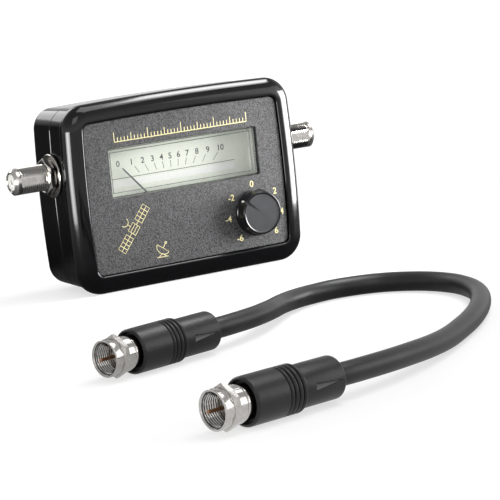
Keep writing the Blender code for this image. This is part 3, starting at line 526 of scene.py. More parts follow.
def bars(name, lines, radius, rounding):
    """Curve data for round bars along lines of points."""
    curve = bpy.data.curves.new(name, "CURVE")
    curve.dimensions = "3D"
    curve.bevel_depth = radius
    curve.bevel_resolution = rounding
    curve.use_fill_caps = True
    for line in lines:
        spline = curve.splines.new("POLY")
        spline.points.add(len(line) - 1)
        for point, place in zip(spline.points, line):
            point.co = (*place, 1)
    return curve


def joined(meshes):
    """Several meshes in one."""
    first, *others = meshes
    for other in others:
        data = mesh_data("part", other)
        first.from_mesh(data)
        bpy.data.meshes.remove(data)
    return first


def show(name, mesh, look, body="case", matrix=None, replaces=None):
    """A shown piece made from a mesh: placed, finished, and riding on its body."""
    bmesh.ops.recalc_face_normals(mesh, faces=mesh.faces)
    if mesh.calc_volume(signed=True) < 0:
        bmesh.ops.reverse_faces(mesh, faces=mesh.faces)
    data = mesh_data(name, mesh)
    data.shade_smooth()
    data.set_sharp_from_angle(angle=smooth_angle)
    data.materials.append(finishes[look])
    made = linked(name, data)
    if matrix:
        made.matrix_world = matrix
    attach(made, body)
    if replaces:
        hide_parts(replaces)
    return made


def refinish(piece, look, chosen):
    """Gives another finish to the faces that chosen(centre, normal, radius) picks."""
    piece.data.materials.append(finishes[look])
    for face in piece.data.polygons:
        if chosen(face.center, face.normal, math.hypot(face.center.x, face.center.y)):
            face.material_index = len(piece.data.materials) - 1


# Materials

def node(tree, kind, inputs, **settings):
    """A shader node, with each input linked to a socket or set to a value."""
    made = tree.nodes.new("ShaderNode" + kind)
    for name, value in settings.items():
        setattr(made, name, value)
    for key, source in inputs.items():
        if isinstance(source, bpy.types.NodeSocket):
            tree.links.new(source, made.inputs[key])
        else:
            made.inputs[key].default_value = source
    return made


def principled(name, colour, roughness, metallic=0.0, specular=0.5, alpha=1.0):
    """A Principled material, its node tree and its shader."""
    made = bpy.data.materials.new(name)
    made.use_nodes = True
    shader = made.node_tree.nodes["Principled BSDF"]
    values = {"Base Color": (*colour, 1.0), "Roughness": roughness, "Metallic": metallic,
              "Specular IOR Level": specular, "Alpha": alpha}
    for socket, value in values.items():
        shader.inputs[socket].default_value = value
    return made, made.node_tree, shader


def noise(tree, scale, detail):
    """A noise texture on the piece's own coordinates; scale is in waves to the metre."""
    place = node(tree, "TexCoord", {}).outputs["Object"]
    texture = node(tree, "TexNoise", {"Vector": place, "Scale": scale, "Detail": detail})
    return texture.outputs["Fac"]


def bump(tree, shader, height, strength, distance):
    """A bump from a height field, its full height as a distance in metres."""
    made = node(tree, "Bump", {"Height": height, "Strength": strength, "Distance": distance})
    tree.links.new(made.outputs["Normal"], shader.inputs["Normal"])


def ramp(tree, source, socket, *stops):
    """Feeds a socket with a field turned into colours or greys at its (place, colour) stops."""
    made = node(tree, "ValToRGB", {"Fac": source})
    elements = made.color_ramp.elements
    while len(elements) < len(stops):
        elements.new(1.0)
    for element, (place, colour) in zip(elements, stops):
        element.position = place
        element.color = (*(colour if isinstance(colour, tuple) else (colour,) * 3), 1.0)
    tree.links.new(made.outputs["Color"], socket)


def gloss_plastic(name, colour, roughness, specular):
    """Polished black plastic, with a faint unevenness and a few duller patches."""
    made, tree, shader = principled(name, colour, roughness, specular=specular)
    patches = noise(tree, scale=60, detail=4)
    ramp(tree, patches, shader.inputs["Roughness"], (0.3, roughness * 0.8), (0.7, roughness * 1.3))
    bump(tree, shader, noise(tree, scale=220, detail=2), strength=0.05, distance=0.0002)
    return made


def textured_plate():
    """The face plate's fine grain, which glints grain by grain."""
    made, tree, shader = principled("face_grain", (0.10, 0.10, 0.105), roughness=0.5)
    grain = noise(tree, scale=2700, detail=1)
    ramp(tree, grain, shader.inputs["Base Color"], (0.36, 0.005), (0.64, (0.087, 0.086, 0.089)))
    bump(tree, shader, grain, strength=0.9, distance=0.00014)
    return made


def gold_ink():
    made, tree, shader = principled("gold_ink", (0.84, 0.76, 0.36), roughness=0.42)
    ramp(tree, noise(tree, scale=1500, detail=2), shader.inputs["Base Color"],
         (0.3, (0.74, 0.66, 0.28)), (0.7, (0.92, 0.84, 0.46)))
    return made


def card(name, light, dark, scale=900):
    """A matt printed surface with a slight mottle."""
    made, tree, shader = principled(name, light, roughness=0.6)
    mottle = noise(tree, scale, detail=3)
    ramp(tree, mottle, shader.inputs["Base Color"], (0.25, dark), (0.75, light))
    return made


def metal(name, colour, dark, roughness):
    """Plated metal with fine turning marks and uneven polish."""
    made, tree, shader = principled(name, colour, roughness, metallic=1.0)
    marks = noise(tree, scale=900, detail=4)
    ramp(tree, marks, shader.inputs["Base Color"], (0.3, dark), (0.7, colour))
    polish = noise(tree, scale=400, detail=3)
    ramp(tree, polish, shader.inputs["Roughness"], (0.3, roughness * 0.7), (0.7, roughness * 1.5))
    bump(tree, shader, marks, strength=0.15, distance=0.00004)
    return made


def rubber(name, colour, worn, roughness, grain, depth):
    """Moulded black rubber or jacket plastic with a fine satin grain."""
    made, tree, shader = principled(name, colour, roughness)
    wear = noise(tree, scale=130, detail=4)
    ramp(tree, wear, shader.inputs["Base Color"], (0.35, colour), (0.7, worn))
    bump(tree, shader, noise(tree, grain, detail=3), strength=0.5, distance=depth)
    return made


def clear_plastic(name, colour, share):
    """Thin clear plastic: a share of it is seen, the rest is seen through."""
    return principled(name, colour, roughness=0.05, alpha=share)[0]


def make_finishes():
    """All finishes by name."""
    return {
        "case": gloss_plastic("case_gloss", (0.003, 0.003, 0.0035), 0.10, 0.45),
        "face": textured_plate(),
        "gold": gold_ink(),
        "dial": card("dial_card_look", (0.58, 0.61, 0.52), (0.54, 0.57, 0.49)),
        "ink": card("dial_ink", (0.030, 0.032, 0.034), (0.022, 0.024, 0.026)),
        "white": card("dial_white", (0.64, 0.65, 0.62), (0.60, 0.61, 0.58)),
        "clear": clear_plastic("clear_plastic_look", (0.90, 0.94, 0.92), 0.05),
        # Painted light: the cover's side walls are pale and partly opaque, standing in for the
        # light that clear walls carry along
        "wall_painted_glow": clear_plastic("wall_painted_glow_look", (0.86, 0.90, 0.86), 0.30),
        # Painted shade: the cover's slanted front edges are dark, a drawn line for the shade that a
        # clear edge shows
        "edge_painted_shade": clear_plastic("edge_painted_shade_look", (0.10, 0.12, 0.10), 0.65),
        "ivory": card("tray_plastic", (0.60, 0.60, 0.54), (0.54, 0.54, 0.48), 300),
        "lamp": card("lamp_lens_look", (0.90, 0.74, 0.45), (0.82, 0.66, 0.38)),
        "board": card("board_lacquer", (0.03, 0.17, 0.07), (0.02, 0.12, 0.05), 700),
        "insulator": card("white_insulator", (0.80, 0.80, 0.76), (0.70, 0.70, 0.66), 1500),
        "needle": rubber("needle_black", (0.020, 0.020, 0.021), (0.030, 0.030, 0.031),
                         0.4, 3000, 0.00001),
        "black": rubber("black_moulding", (0.016, 0.016, 0.017), (0.024, 0.024, 0.025),
                        0.4, 2500, 0.00003),
        "knob": gloss_plastic("knob_gloss", (0.006, 0.006, 0.007), 0.17, 0.40),
        "knob_top": rubber("knob_satin", (0.034, 0.035, 0.038), (0.046, 0.047, 0.051),
                           0.34, 4000, 0.00002),
        "nickel": metal("nickel_look", (0.72, 0.70, 0.67), (0.60, 0.58, 0.55), 0.13),
        # Painted shade: dark nickel for the thread roots and the inside of the nuts, where shade
        # falls
        "painted_shade_nickel": metal("painted_shade_nickel_look", (0.13, 0.125, 0.12), (0.08, 0.076, 0.072), 0.35),
        "steel": metal("screw_steel_look", (0.42, 0.42, 0.43), (0.30, 0.30, 0.31), 0.32),
        "iron": metal("iron_look", (0.50, 0.50, 0.50), (0.40, 0.40, 0.40), 0.35),
        "magnet": metal("magnet_look", (0.22, 0.22, 0.23), (0.16, 0.16, 0.17), 0.45),
        "brass": metal("brass_look", (0.76, 0.59, 0.29), (0.66, 0.50, 0.22), 0.30),
        "tin": metal("tin_look", (0.62, 0.62, 0.62), (0.50, 0.50, 0.50), 0.34),
        "copper": metal("copper_look", (0.50, 0.27, 0.16), (0.34, 0.17, 0.09), 0.34),
        "boot": rubber("boot_rubber_look", (0.009, 0.009, 0.0095), (0.015, 0.015, 0.0155),
                       0.36, 1700, 0.00012),
        # Painted light: the grip slots' floors are a light grey, standing in for the light they
        # catch
        "boot_slot": rubber("slot_floor_painted_light_look", (0.150, 0.150, 0.152), (0.190, 0.190, 0.192),
                            0.45, 2600, 0.00004),
        "cable": rubber("cable_jacket_look", (0.012, 0.012, 0.013), (0.020, 0.020, 0.022),
                        0.40, 1400, 0.00003),
    }


# Case and face

def openings(front_y, depth, window_rings):
    """Cutters for the window, through (grow, y) rings, and for the hole of the control's bush."""
    window = skin([rounded_ring(window_low, window_high, grow, window_corner_radius, y)
                   for grow, y in window_rings])
    hole = placed(rod(bush_radius + fit_gap, -overrun, depth + overrun),
                  backward(knob_place.x, front_y, knob_place.z))
    return [window, hole]


def make_front_shell():
    """The glossy front shell: rounded rim, recess, window and bush holes, notches at the seam."""
    recess = rim_width - fit_gap
    crest = recess - rim_lip
    widest_y = crest_y + rim_side_depth
    step_y = face_y + rim_step_depth
    seat_y = plate_high.y + fit_gap
    wall_back_y = seat_y + front_wall
    seam_y = shell_high.y
    profile = [(recess, seat_y), (recess, crest_y + rim_lip)]
    profile += arc((crest, crest_y + rim_lip), (rim_lip, -rim_lip), 0, quarter)[1:]
    profile += arc((crest, widest_y), (-crest, -rim_side_depth), quarter, 0, rim_steps)[1:]
    back = (rim_back_radius, step_y - rim_back_radius)
    profile += arc(back, (-rim_back_radius, rim_back_radius), 0, quarter)
    profile += [
        (rim_step + face_edge, step_y), (rim_step + face_edge, step_y + face_edge),
        (body_inset, seam_y - face_edge), (body_inset + face_edge, seam_y),
        (body_inset + case_wall, seam_y), (body_inset + case_wall, wall_back_y),
    ]
    cutters = openings(seat_y, front_wall, ((0, seat_y - overrun), (0, wall_back_y + overrun)))
    shell = carve(skin([case_ring(inset, y) for inset, y in profile]), cutters + [socket_notch()])
    show("front_shell_gloss", shell, "case", replaces="front_shell")


def socket_matrix(name, side):
    """A socket's frame on the case's middle plane: local Z points out of a side."""
    low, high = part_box(f"socket_{name}")
    return axis_matrix((0, (low.y + high.y) / 2, (low.z + high.z) / 2), (0, side * quarter, 0))


def socket_notch():
    """The bar that cuts the half-round notches for both sockets at the seam."""
    reach = case_width / 2 + overrun
    return placed(rod(socket_radius + fit_gap, -reach, reach), socket_matrix("left", 1))


def make_rear_cover():
    """The glossy rear cover with its rounded back edge and four counterbored screw holes."""
    seam_y = cover_low.y
    inner = body_inset + case_wall
    edge = (body_inset + side_draft + rear_edge_radius, back_y - rear_edge_radius)
    profile = [(inner, back_y - back_wall), (inner, seam_y), (body_inset + face_edge, seam_y),
               (body_inset, seam_y + face_edge)]
    profile += arc(edge, (-rear_edge_radius, rear_edge_radius), 0, quarter, rim_steps)
    radius = counterbore_radius
    hole = screw_radius + fit_gap
    wide = radius + washer_edge
    outer = radius + face_edge
    through = -back_wall - overrun
    seat = -counterbore_depth
    foot = seat - overrun / 2
    top = -back_wall - face_edge
    column = [(0, through), (hole, through), (hole, seat), (radius, seat), (radius, -washer_edge),
              (wide, 0), (wide, overrun), (0, overrun)]
    pocket = [(hole, foot), (outer, foot), (outer, top), (radius, top), (radius, seat),
              (hole, seat)]
    cutters = [socket_notch()]
    pockets = []
    for x, z in screw_places():
        matrix = backward(x, back_y, z)
        cutters.append(placed(turned(column, screw_steps), matrix))
        pockets.append(placed(turned(pocket, screw_steps, closed=True), matrix))
    cover = carve(skin([case_ring(inset, y) for inset, y in profile]), cutters)
    show("rear_cover_gloss", joined([cover] + pockets), "case", replaces="rear_cover")


def screw_places():
    """The four screws' places, as (x, z)."""
    side = case_width / 2 - column_x_from_side
    rise = case_height / 2 - column_x_from_side
    return [(x, case_middle + z) for x in (-side, side) for z in (-rise, rise)]


def make_case_screws():
    """Cross-head screws in the counterbores."""
    half = screw_head_height / 2
    top = fit_gap + screw_head_height
    reach = screw_head_radius * cross_slot_reach_share
    width = cross_slot_width / 2
    levels = ((top - cross_slot_depth, cross_slot_floor_share), (top + overrun, 1.0))
    middle = (screw_head_radius - half, fit_gap + half)
    head = arc(middle, (half, half), 0, quarter, small_arc_steps)
    for index, (x, z) in enumerate(screw_places(), 1):
        name = f"case_screw_{index}"
        low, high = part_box(name)
        length = high.y - low.y - screw_head_height - fit_gap
        profile = [(0, -length), (screw_radius / 2, -length), (screw_radius, screw_radius - length),
                   (screw_radius, fit_gap), (screw_head_radius, fit_gap), *head, (0, top)]
        slots = []
        for turn in (0, quarter):
            rings = [[Vector((side * reach * shrink, rise * width, along)) for side, rise in square]
                     for along, shrink in levels]
            slots.append(placed(skin(rings), Matrix.Rotation(turn, 4, "Z")))
        show(f"{name}_head", carve(turned(profile, screw_steps), slots), "steel",
             matrix=backward(x, back_y - counterbore_depth, z), replaces=name)


def make_face_plate():
    """The grained plate with softened edges, its window and the hole for the control's bush."""
    depths = ((0, plate_high.y), (0, face_y + face_edge), (face_edge, face_y))
    plate = skin([case_ring(rim_width + inset, y) for inset, y in depths])
    window_rings = ((face_edge, face_y - overrun), (face_edge, face_y), (0, face_y + face_edge),
                    (0, plate_high.y + overrun))
    plate = carve(plate, openings(face_y, plate_high.y - face_y, window_rings))
    show("face_plate_grained", plate, "face", replaces="face_plate")


# Meter

def make_meter_cover():
    """The clear cover: a box pushed through the window, open behind, its foot with a flange."""
    front_y = housing_low.y
    back = housing_high.y
    flange_front = back - cover_wall
    inner = fit_gap + cover_wall
    rings = []
    for inset, y in ((inner + cover_edge, front_y + cover_wall),
                     (inner, front_y + cover_wall + cover_edge), (inner, back),
                     (-cover_margin, back), (-cover_margin, flange_front), (fit_gap, flange_front),
                     (fit_gap, front_y + cover_edge), (fit_gap + cover_edge, front_y)):
        radius = max(window_corner_radius - max(inset, 0), face_edge)
        rings.append(rounded_ring(window_low, window_high, -inset, radius, y))
    cover = show("meter_cover_clear", skin(rings), "clear", replaces="meter_cover")
    # Painted light on the side walls, and a painted dark line on the slanted front edges
    refinish(cover, "wall_painted_glow",
             lambda centre, normal, radius: abs(normal.y) < cover_wall_facing)
    refinish(cover, "edge_painted_shade",
             lambda centre, normal, radius: cover_wall_facing <= abs(normal.y) < cover_edge_facing)


def drawing(lines, width, y):
    """Low flat strokes along lines of (x, z) points, just in front of a surface at y."""
    strokes = [[(x, 0, z) for x, z in line] for line in lines]
    mesh = final_mesh(linked("strokes", bars("strokes", strokes, width / 2, stroke_rounding)))
    flatten = print_lift / (width / 2)
    for vertex in mesh.verts:
        vertex.co.y = y + vertex.co.y * flatten
    return mesh


def label(text, height, place, y, weight):
    """A number with fattened strokes, centred on an (x, z) place in front of a surface at y."""
    curve = bpy.data.curves.new("label", "FONT")
    curve.body = text
    curve.size = 1.0
    curve.extrude = 0.5
    curve.offset = weight
    curve.resolution_u = font_steps
    mesh = final_mesh(linked("label", curve))
    across = [vertex.co.x for vertex in mesh.verts]
    middle = (min(across) + max(across)) / 2
    scale = height / font_digit_height
    for vertex in mesh.verts:
        point = vertex.co
        x = place[0] + (point.x - middle) * scale
        z = place[1] + (point.y - font_digit_height / 2) * scale
        point.xyz = (x, y - point.z * 2 * print_lift, z)
    bmesh.ops.remove_doubles(mesh, verts=mesh.verts, dist=scale * font_weld)
    return mesh


def make_dial():
    """The dial card with its numbers, ticks, line and white strip."""
    y = dial_low.y
    corners = ((dial_low.x, dial_low.z), (dial_high.x, dial_high.z))
    rings = [rounded_ring(*corners, -inset, face_edge * 2, depth)
             for inset, depth in ((0, dial_high.y), (0, y + face_edge / 2), (face_edge / 2, y))]
    show("dial_card", skin(rings), "dial", replaces="dial_plate")

    meshes = []
    ticks = []
    for number in range(dial_number_count):
        slope = math.tan(dial_first_angle + dial_step_angle * number)
        place = (pivot.x + dial_number_rise * slope, pivot.z + dial_number_rise)
        meshes.append(label(str(number), dial_number_height, place, y, dial_number_weight))
        ticks.append([(pivot.x + rise * slope, pivot.z + rise) for rise in dial_tick_rises])
    left = dial_low.x + dial_card_edge
    right = pivot.x + dial_line_right
    ticks.append([(left, pivot.z + dial_line_rise), (right, pivot.z + dial_line_rise)])
    meshes.append(drawing(ticks, dial_ink_width, y))
    show("dial_print", joined(meshes), "ink")

    low, high = (pivot.z + rise for rise in dial_strip_rises)
    outline = rounded_rectangle((left, low), (right, high), (high - low) / dial_strip_roundness)
    strip = skin([flat_ring(outline, y), flat_ring(outline, y - print_lift)])
    show("dial_strip", strip, "white")


# Print on the face plate

def plate_point(across, down):
    """A point on the plate, from its top left corner."""
    return (plate_low.x + across, plate_high.z - down)


def turned_lines(lines, place, angle):
    """Lines drawn about the origin, turned and put at a place on the plate."""
    middle = plate_point(*place)
    sine = math.sin(angle)
    cosine = math.cos(angle)
    return [[(middle[0] + x * cosine - z * sine, middle[1] + x * sine + z * cosine)
             for x, z in line] for line in lines]


def craft_lines():
    """A plain drawing of a satellite: a body between two gridded panels, and a small aerial."""
    body = craft_body
    panel = craft_panel_half
    aerial = craft_aerial
    lines = [[(-body, -body), (body, -body), (body, body), (-body, body), (-body, -body)],
             [(-body, -body / 3), (body, -body / 3)], [(-body, body / 3), (body, body / 3)]]
    for side in (-1, 1):
        near, far = (side * reach for reach in craft_panel_reach)
        lines.append([(near, -panel), (far, -panel), (far, panel), (near, panel), (near, -panel)])
        lines.append([(near, 0), (far, 0)])
        for part in (1, 2, 3):
            x = near + (far - near) * part / 4
            lines.append([(x, -panel), (x, panel)])
        lines.append([(side * body, 0), (near, 0)])
    lines.append([(0, body), (0, craft_mast)])
    lines.append(arc((0, craft_mast + aerial), (aerial, aerial), math.pi, full_turn, aerial_steps))
    return lines


def dish_lines():
    """A plain drawing of an aerial dish on its stand."""
    bowl = dish_bowl
    sine = math.sin(dish_tilt)
    cosine = math.cos(dish_tilt)
    rim = [(x * cosine + z * sine, -x * sine + z * cosine) for x, z in
           arc((0, 0), (bowl, bowl * dish_flatness), math.pi, full_turn, dish_steps)]
    feed = (bowl * dish_feed * sine, bowl * dish_feed * cosine)
    radius = bowl * dish_feed_radius
    ring = arc(feed, (radius, radius), 0, full_turn, small_arc_steps)
    stand = [[(x * bowl, z * bowl) for x, z in line] for line in dish_stand]
    return [rim + [rim[0]], [(0, 0), feed], ring] + stand


def make_face_print():
    """Gold print: a graduated rule along the top, two plain drawings and the knob's numbers."""
    rule = []
    for index in range(rule_marks):
        across = rule_left + (rule_right - rule_left) * index / (rule_marks - 1)
        share = next(share for every, share in rule_mark_shares if index % every == 0)
        top = rule_base - rule_height * share
        rule.append([plate_point(across, rule_base), plate_point(across, top)])
    rule.append([plate_point(rule_left, rule_base), plate_point(rule_right, rule_base)])
    craft = turned_lines(craft_lines(), craft_place, craft_tilt)
    dish = turned_lines(dish_lines(), dish_place, 0)
    for name, lines, width in (("rule", rule, rule_line), ("craft", craft, gold_line),
                               ("dish", dish, gold_line)):
        show(f"gold_{name}", drawing(lines, width, face_y), "gold")
    numbers = [label(text, gain_label_height, (x, z), face_y, gold_number_weight)
               for text, x, z in gain_labels]
    show("gold_numbers", joined(numbers), "gold")


# Knob

def make_knob():
    """The knob: glossy side and skirt, dished satin top, pointer notch and a short white line."""
    foot = knob_lift
    top = knob_lift + knob_height
    floor = top - knob_dish_depth
    edge = knob_edge_radius
    bore_end = foot + knob_bore_depth
    hollow_end = foot + knob_hollow_depth
    skirt_top = foot + knob_skirt_height
    skirt_side = knob_skirt_radius - washer_edge
    inner = knob_radius - knob_top_border
    profile = [
        (0, bore_end), (knob_bore_radius, bore_end), (knob_bore_radius, hollow_end),
        (knob_hollow_radius, hollow_end), (knob_hollow_radius, foot), (skirt_side, foot),
        (knob_skirt_radius, foot + washer_edge), (knob_skirt_radius, skirt_top - washer_edge),
        (skirt_side, skirt_top), (knob_foot_radius, skirt_top),
        *arc((knob_radius - edge, top - edge), (edge, edge), 0, quarter, small_arc_steps),
        (inner + washer_edge, top - knob_dish_depth / 3), (inner, floor), (0, floor),
    ]
    half = notch_width / 2
    point = notch_point_width / 2
    reach = knob_skirt_radius + overrun
    side = [(point, notch_inner_radius, floor), (half, reach, floor - notch_depth),
            (half, reach, top + overrun), (point, notch_inner_radius, top + overrun)]
    wedge = skin([[Vector((turn * x, y, z)) for x, y, z in side] for turn in (-1, 1)])
    matrix = axis_matrix((knob_place.x, face_y, knob_place.z), (quarter, -pointer_angle, 0))
    knob = show("knob_finished", carve(turned(profile), [wedge]), "knob", "gain_knob", matrix,
                replaces="knob")
    refinish(knob, "knob_top", lambda centre, normal, radius:
             centre.z > floor - notch_finish_depth and normal.z > facing_share
             and radius < inner + washer_edge)

    lean = (knob_foot_radius - knob_radius) / (knob_height - knob_skirt_height - edge)
    width = pointer_line_width / 2
    outline = ((-width, -pointer_line_sink), (width, -pointer_line_sink),
               (width, print_lift), (-width, print_lift))
    rings = []
    for along in (foot + pointer_line_start, top - edge - notch_depth):
        radius = knob_foot_radius - lean * (along - foot - knob_skirt_height)
        rings.append([Vector((x, radius + y, along)) for x, y in outline])
    show("knob_pointer_line", skin(rings), "white", "gain_knob", matrix)


# Sockets

def make_socket(side, name):
    """A threaded socket with its washer and hexagon nut."""
    inner_x, tip = sorted(abs(corner.x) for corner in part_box(f"socket_{name}"))
    washer_start, washer_end = sorted(abs(corner.x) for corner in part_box(f"socket_washer_{name}"))
    nut_start, nut_end = sorted(abs(corner.x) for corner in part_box(f"socket_nut_{name}"))
    matrix = socket_matrix(name, side)
    outer = socket_radius
    bore = socket_bore_radius
    flange = socket_flange_radius
    flange_start = inner_x + socket_tail
    flange_end = flange_start + socket_flange_thickness
    thread_start = nut_end - fit_gap
    thread_end = tip - socket_chamfer
    cap_start = thread_end - socket_cap
    cap_end = cap_start + thread_depth
    groove = outer - thread_depth
    nose = outer - socket_chamfer
    rings = circles([
        (bore, inner_x), (outer, inner_x), (outer, flange_start), (flange, flange_start),
        (flange, flange_end), (outer, flange_end), (outer, thread_start),
    ])
    rings += thread_rings(outer, thread_start, cap_start, socket_flat)
    rings += circles([
        (groove, cap_start), (groove, cap_start + thread_depth / 2), (outer, cap_end),
        (outer, thread_end), (nose, tip - washer_edge), (nose - washer_edge, tip),
        (bore + washer_edge, tip), (bore, tip - washer_edge),
    ])
    socket = show(f"socket_{name}_threaded", skin(rings, closed=True), "nickel", matrix=matrix,
                  replaces=f"socket_{name}")
    # Painted shade: the thread roots off the flats get the dark nickel
    root = outer - thread_depth * shade_line_depth_share
    refinish(socket, "painted_shade_nickel", lambda centre, normal, radius:
             nut_end < centre.z < cap_end and abs(centre.y) < socket_flat * off_flat_share
             and bore + fit_gap < radius < root)

    hole = outer + fit_gap
    rim = washer_radius - washer_edge
    washer = turned([
        (hole, washer_start), (rim, washer_start), (washer_radius, washer_start + washer_edge),
        (washer_radius, washer_end - washer_edge), (rim, washer_end), (hole, washer_end),
    ], closed=True)
    nut = circles([(hole, nut_start)]) + hexagon(nut_flats, nut_start, nut_end)
    nut = skin(nut + circles([(hole + washer_edge, nut_end), (hole, nut_end - washer_edge)]),
               closed=True)
    for part, mesh in ((f"socket_washer_{name}", washer), (f"socket_nut_{name}", nut)):
        show(f"{part}_plated", mesh, "nickel", matrix=matrix, replaces=part)


# Patch lead

def smooth_path(route, steps):
    """Evenly shared points on a smooth curve through the route."""
    places = [Vector(point) for point in route]
    places = [2 * places[0] - places[1]] + places + [2 * places[-1] - places[-2]]
    path = []
    spans = len(places) - 3
    for step in range(steps + 1):
        along = spans * step / steps
        span = min(int(along), spans - 1)
        share = along - span
        before, start, end, after = places[span:span + 4]
        path.append((2 * start + (end - before) * share
                     + (2 * before - 5 * start + 4 * end - after) * share ** 2
                     + (3 * start - before - 3 * end + after) * share ** 3) / 2)
    return path


def boot_profile():
    """The boot's profile: rounded rear, four grip rings, plain front, hollow mouth and bore."""
    edge = boot_edge_radius
    low = boot_radius - boot_ring_depth
    rings_end = boot_rear_length + boot_ring_zone
    pitch = boot_ring_zone / boot_ring_count
    floor = boot_length - boot_mouth_depth
    profile = [(0, 0)]
    profile += arc((boot_rear_radius - edge, edge), (edge, edge), -quarter, 0, small_arc_steps)
    profile += [(boot_rear_radius, boot_rear_length - pitch / 2), (low, boot_rear_length)]
    for ring in range(boot_ring_count):
        start = boot_rear_length + ring * pitch
        for step in range(ridge_steps + 1):
            turn = math.pi * step / ridge_steps
            along = start + pitch * (1 - math.cos(turn) * boot_ridge_share) / 2
            profile.append((low + boot_ring_depth * math.sin(turn), along))
    return profile + [
        (boot_radius - washer_edge, rings_end + washer_edge / 2),
        (boot_radius, rings_end + washer_edge * 1.5),
        *arc((boot_radius - edge, boot_length - edge), (edge, edge), 0, boot_mouth_turn,
             small_arc_steps),
        (boot_mouth_radius + washer_edge, boot_length),
        (boot_mouth_radius, boot_length - washer_edge), (boot_mouth_radius, floor),
        (boot_bore_radius, floor), (boot_bore_radius, floor - ferrule_depth),
        (0, floor - ferrule_depth),
    ]


def boot_slot(turn):
    """The wedge for a grip slot: wide and deep toward the rings, pointed at the rear, slanting."""
    half = boot_slot_width / 2
    end = boot_slot_start + boot_slot_length
    top = boot_rear_radius + overrun
    deep = boot_rear_radius - boot_slot_depth
    shallow = boot_rear_radius - boot_slot_depth / 4
    floor = [(shallow, 0, boot_slot_start), (deep, half * boot_slot_deep_share, end),
             (shallow, -half, end)]
    roof = [(top, 0, boot_slot_start - washer_edge), (top, half, end),
            (top, -half * boot_slot_flare, end)]
    return placed(skin([floor, roof]), Matrix.Rotation(turn, 4, "Z"))


def plug_matrix(name):
    """The plug's frame: local Z runs from the boot's rear face to the mouth."""
    heading = plug_headings[name]
    end = lead_route[0] if name == "a" else lead_route[-1]
    away = Vector((math.cos(heading), math.sin(heading), 0))
    return axis_matrix(Vector(end) + away * fit_gap, (0, quarter, heading))


def make_plug(name):
    """The plug's boot, free nut and centre pin; returns its pieces."""
    matrix = plug_matrix(name)
    slots = [boot_slot(boot_slot_turn + full_turn * index / boot_slot_count)
             for index in range(boot_slot_count)]
    boot = show(f"plug_boot_{name}_rubber", carve(turned(boot_profile()), slots), "boot",
                matrix=matrix, replaces=f"plug_boot_{name}")
    # Painted light: the slot floors that face outward get the light grey
    refinish(boot, "boot_slot", lambda centre, normal, radius:
             boot_slot_start < centre.z < boot_slot_start + boot_slot_length
             and boot_bore_radius + fit_gap < radius < boot_rear_radius - fit_gap / 4
             and (normal.x * centre.x + normal.y * centre.y) / radius > facing_share)

    bore = boot_bore_radius
    collar = plug_nut_collar_radius
    thread = plug_nut_thread_radius
    body = plug_nut_body_radius
    tail = plug_nut_tail_radius
    lip = plug_nut_lip
    floor = boot_length - boot_mouth_depth
    start = floor + fit_gap
    mouth = start + plug_nut_length
    thread_floor = mouth - plug_nut_thread_depth
    collar_start = mouth - plug_nut_collar_length
    hex_end = collar_start - plug_nut_shoulder
    hex_start = hex_end - plug_nut_hex_length
    body_start = hex_start - plug_nut_body_length
    tail_end = body_start - plug_nut_groove_width
    groove = tail - plug_nut_groove_depth
    rings = circles([
        (bore, start), (tail, start), (tail, tail_end - lip), (tail - lip, tail_end),
        (groove, tail_end), (groove, body_start), (body - lip, body_start),
        (body, body_start + lip), (body, hex_start),
    ])
    rings += hexagon(plug_nut_flats, hex_start, hex_end)
    rings += circles([
        (collar, collar_start), (collar, mouth - lip),
        *arc((collar - lip, mouth - lip), (lip, lip), 0, quarter)[1:],
        (thread + (collar - thread) / 3, mouth),
    ])
    rings += thread_rings(thread, mouth - lip, thread_floor)
    rings += circles([(thread, thread_floor), (bore, thread_floor)])
    nut = show(f"plug_nut_{name}_plated", skin(rings, closed=True), "nickel", f"nut_{name}", matrix,
               replaces=f"plug_nut_{name}")
    # Painted shade: the roots of the nut's inner thread and its bore get the dark nickel
    root = thread - thread_depth * plug_nut_shade_line_depth_share
    refinish(nut, "painted_shade_nickel", lambda centre, normal, radius:
             thread_floor - lip < centre.z < mouth - lip
             and (radius < bore or root < radius < thread + lip / 2))

    radius = plug_pin_radius
    tip = mouth + plug_pin_reach
    pin_start = floor - ferrule_depth + fit_gap
    pin = turned([(0, pin_start), (radius, pin_start), (radius, tip - radius),
                  (radius / 2, tip - radius / 4), (0, tip)], pin_steps)
    pin = show(f"plug_pin_{name}_copper", pin, "copper", matrix=matrix,
               replaces=f"plug_pin_{name}")
    kept = [frame["nodes"][f"plug_{part}_{name}"] for part in ("ferrule", "dielectric")]
    return [boot, nut, pin] + kept


def make_lead():
    """The lead's cable on its real route, with a plug on each end."""
    pieces = make_plug("a") + make_plug("b")
    path = smooth_path(lead_route, cable_steps)
    curve = bars("lead_jacket", [path], cable_radius, cable_rounding)
    curve.splines[0].use_smooth = True
    curve.materials.append(finishes["cable"])
    cable = linked("lead_jacket", curve)
    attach(cable, "case")
    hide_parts("lead_cable")


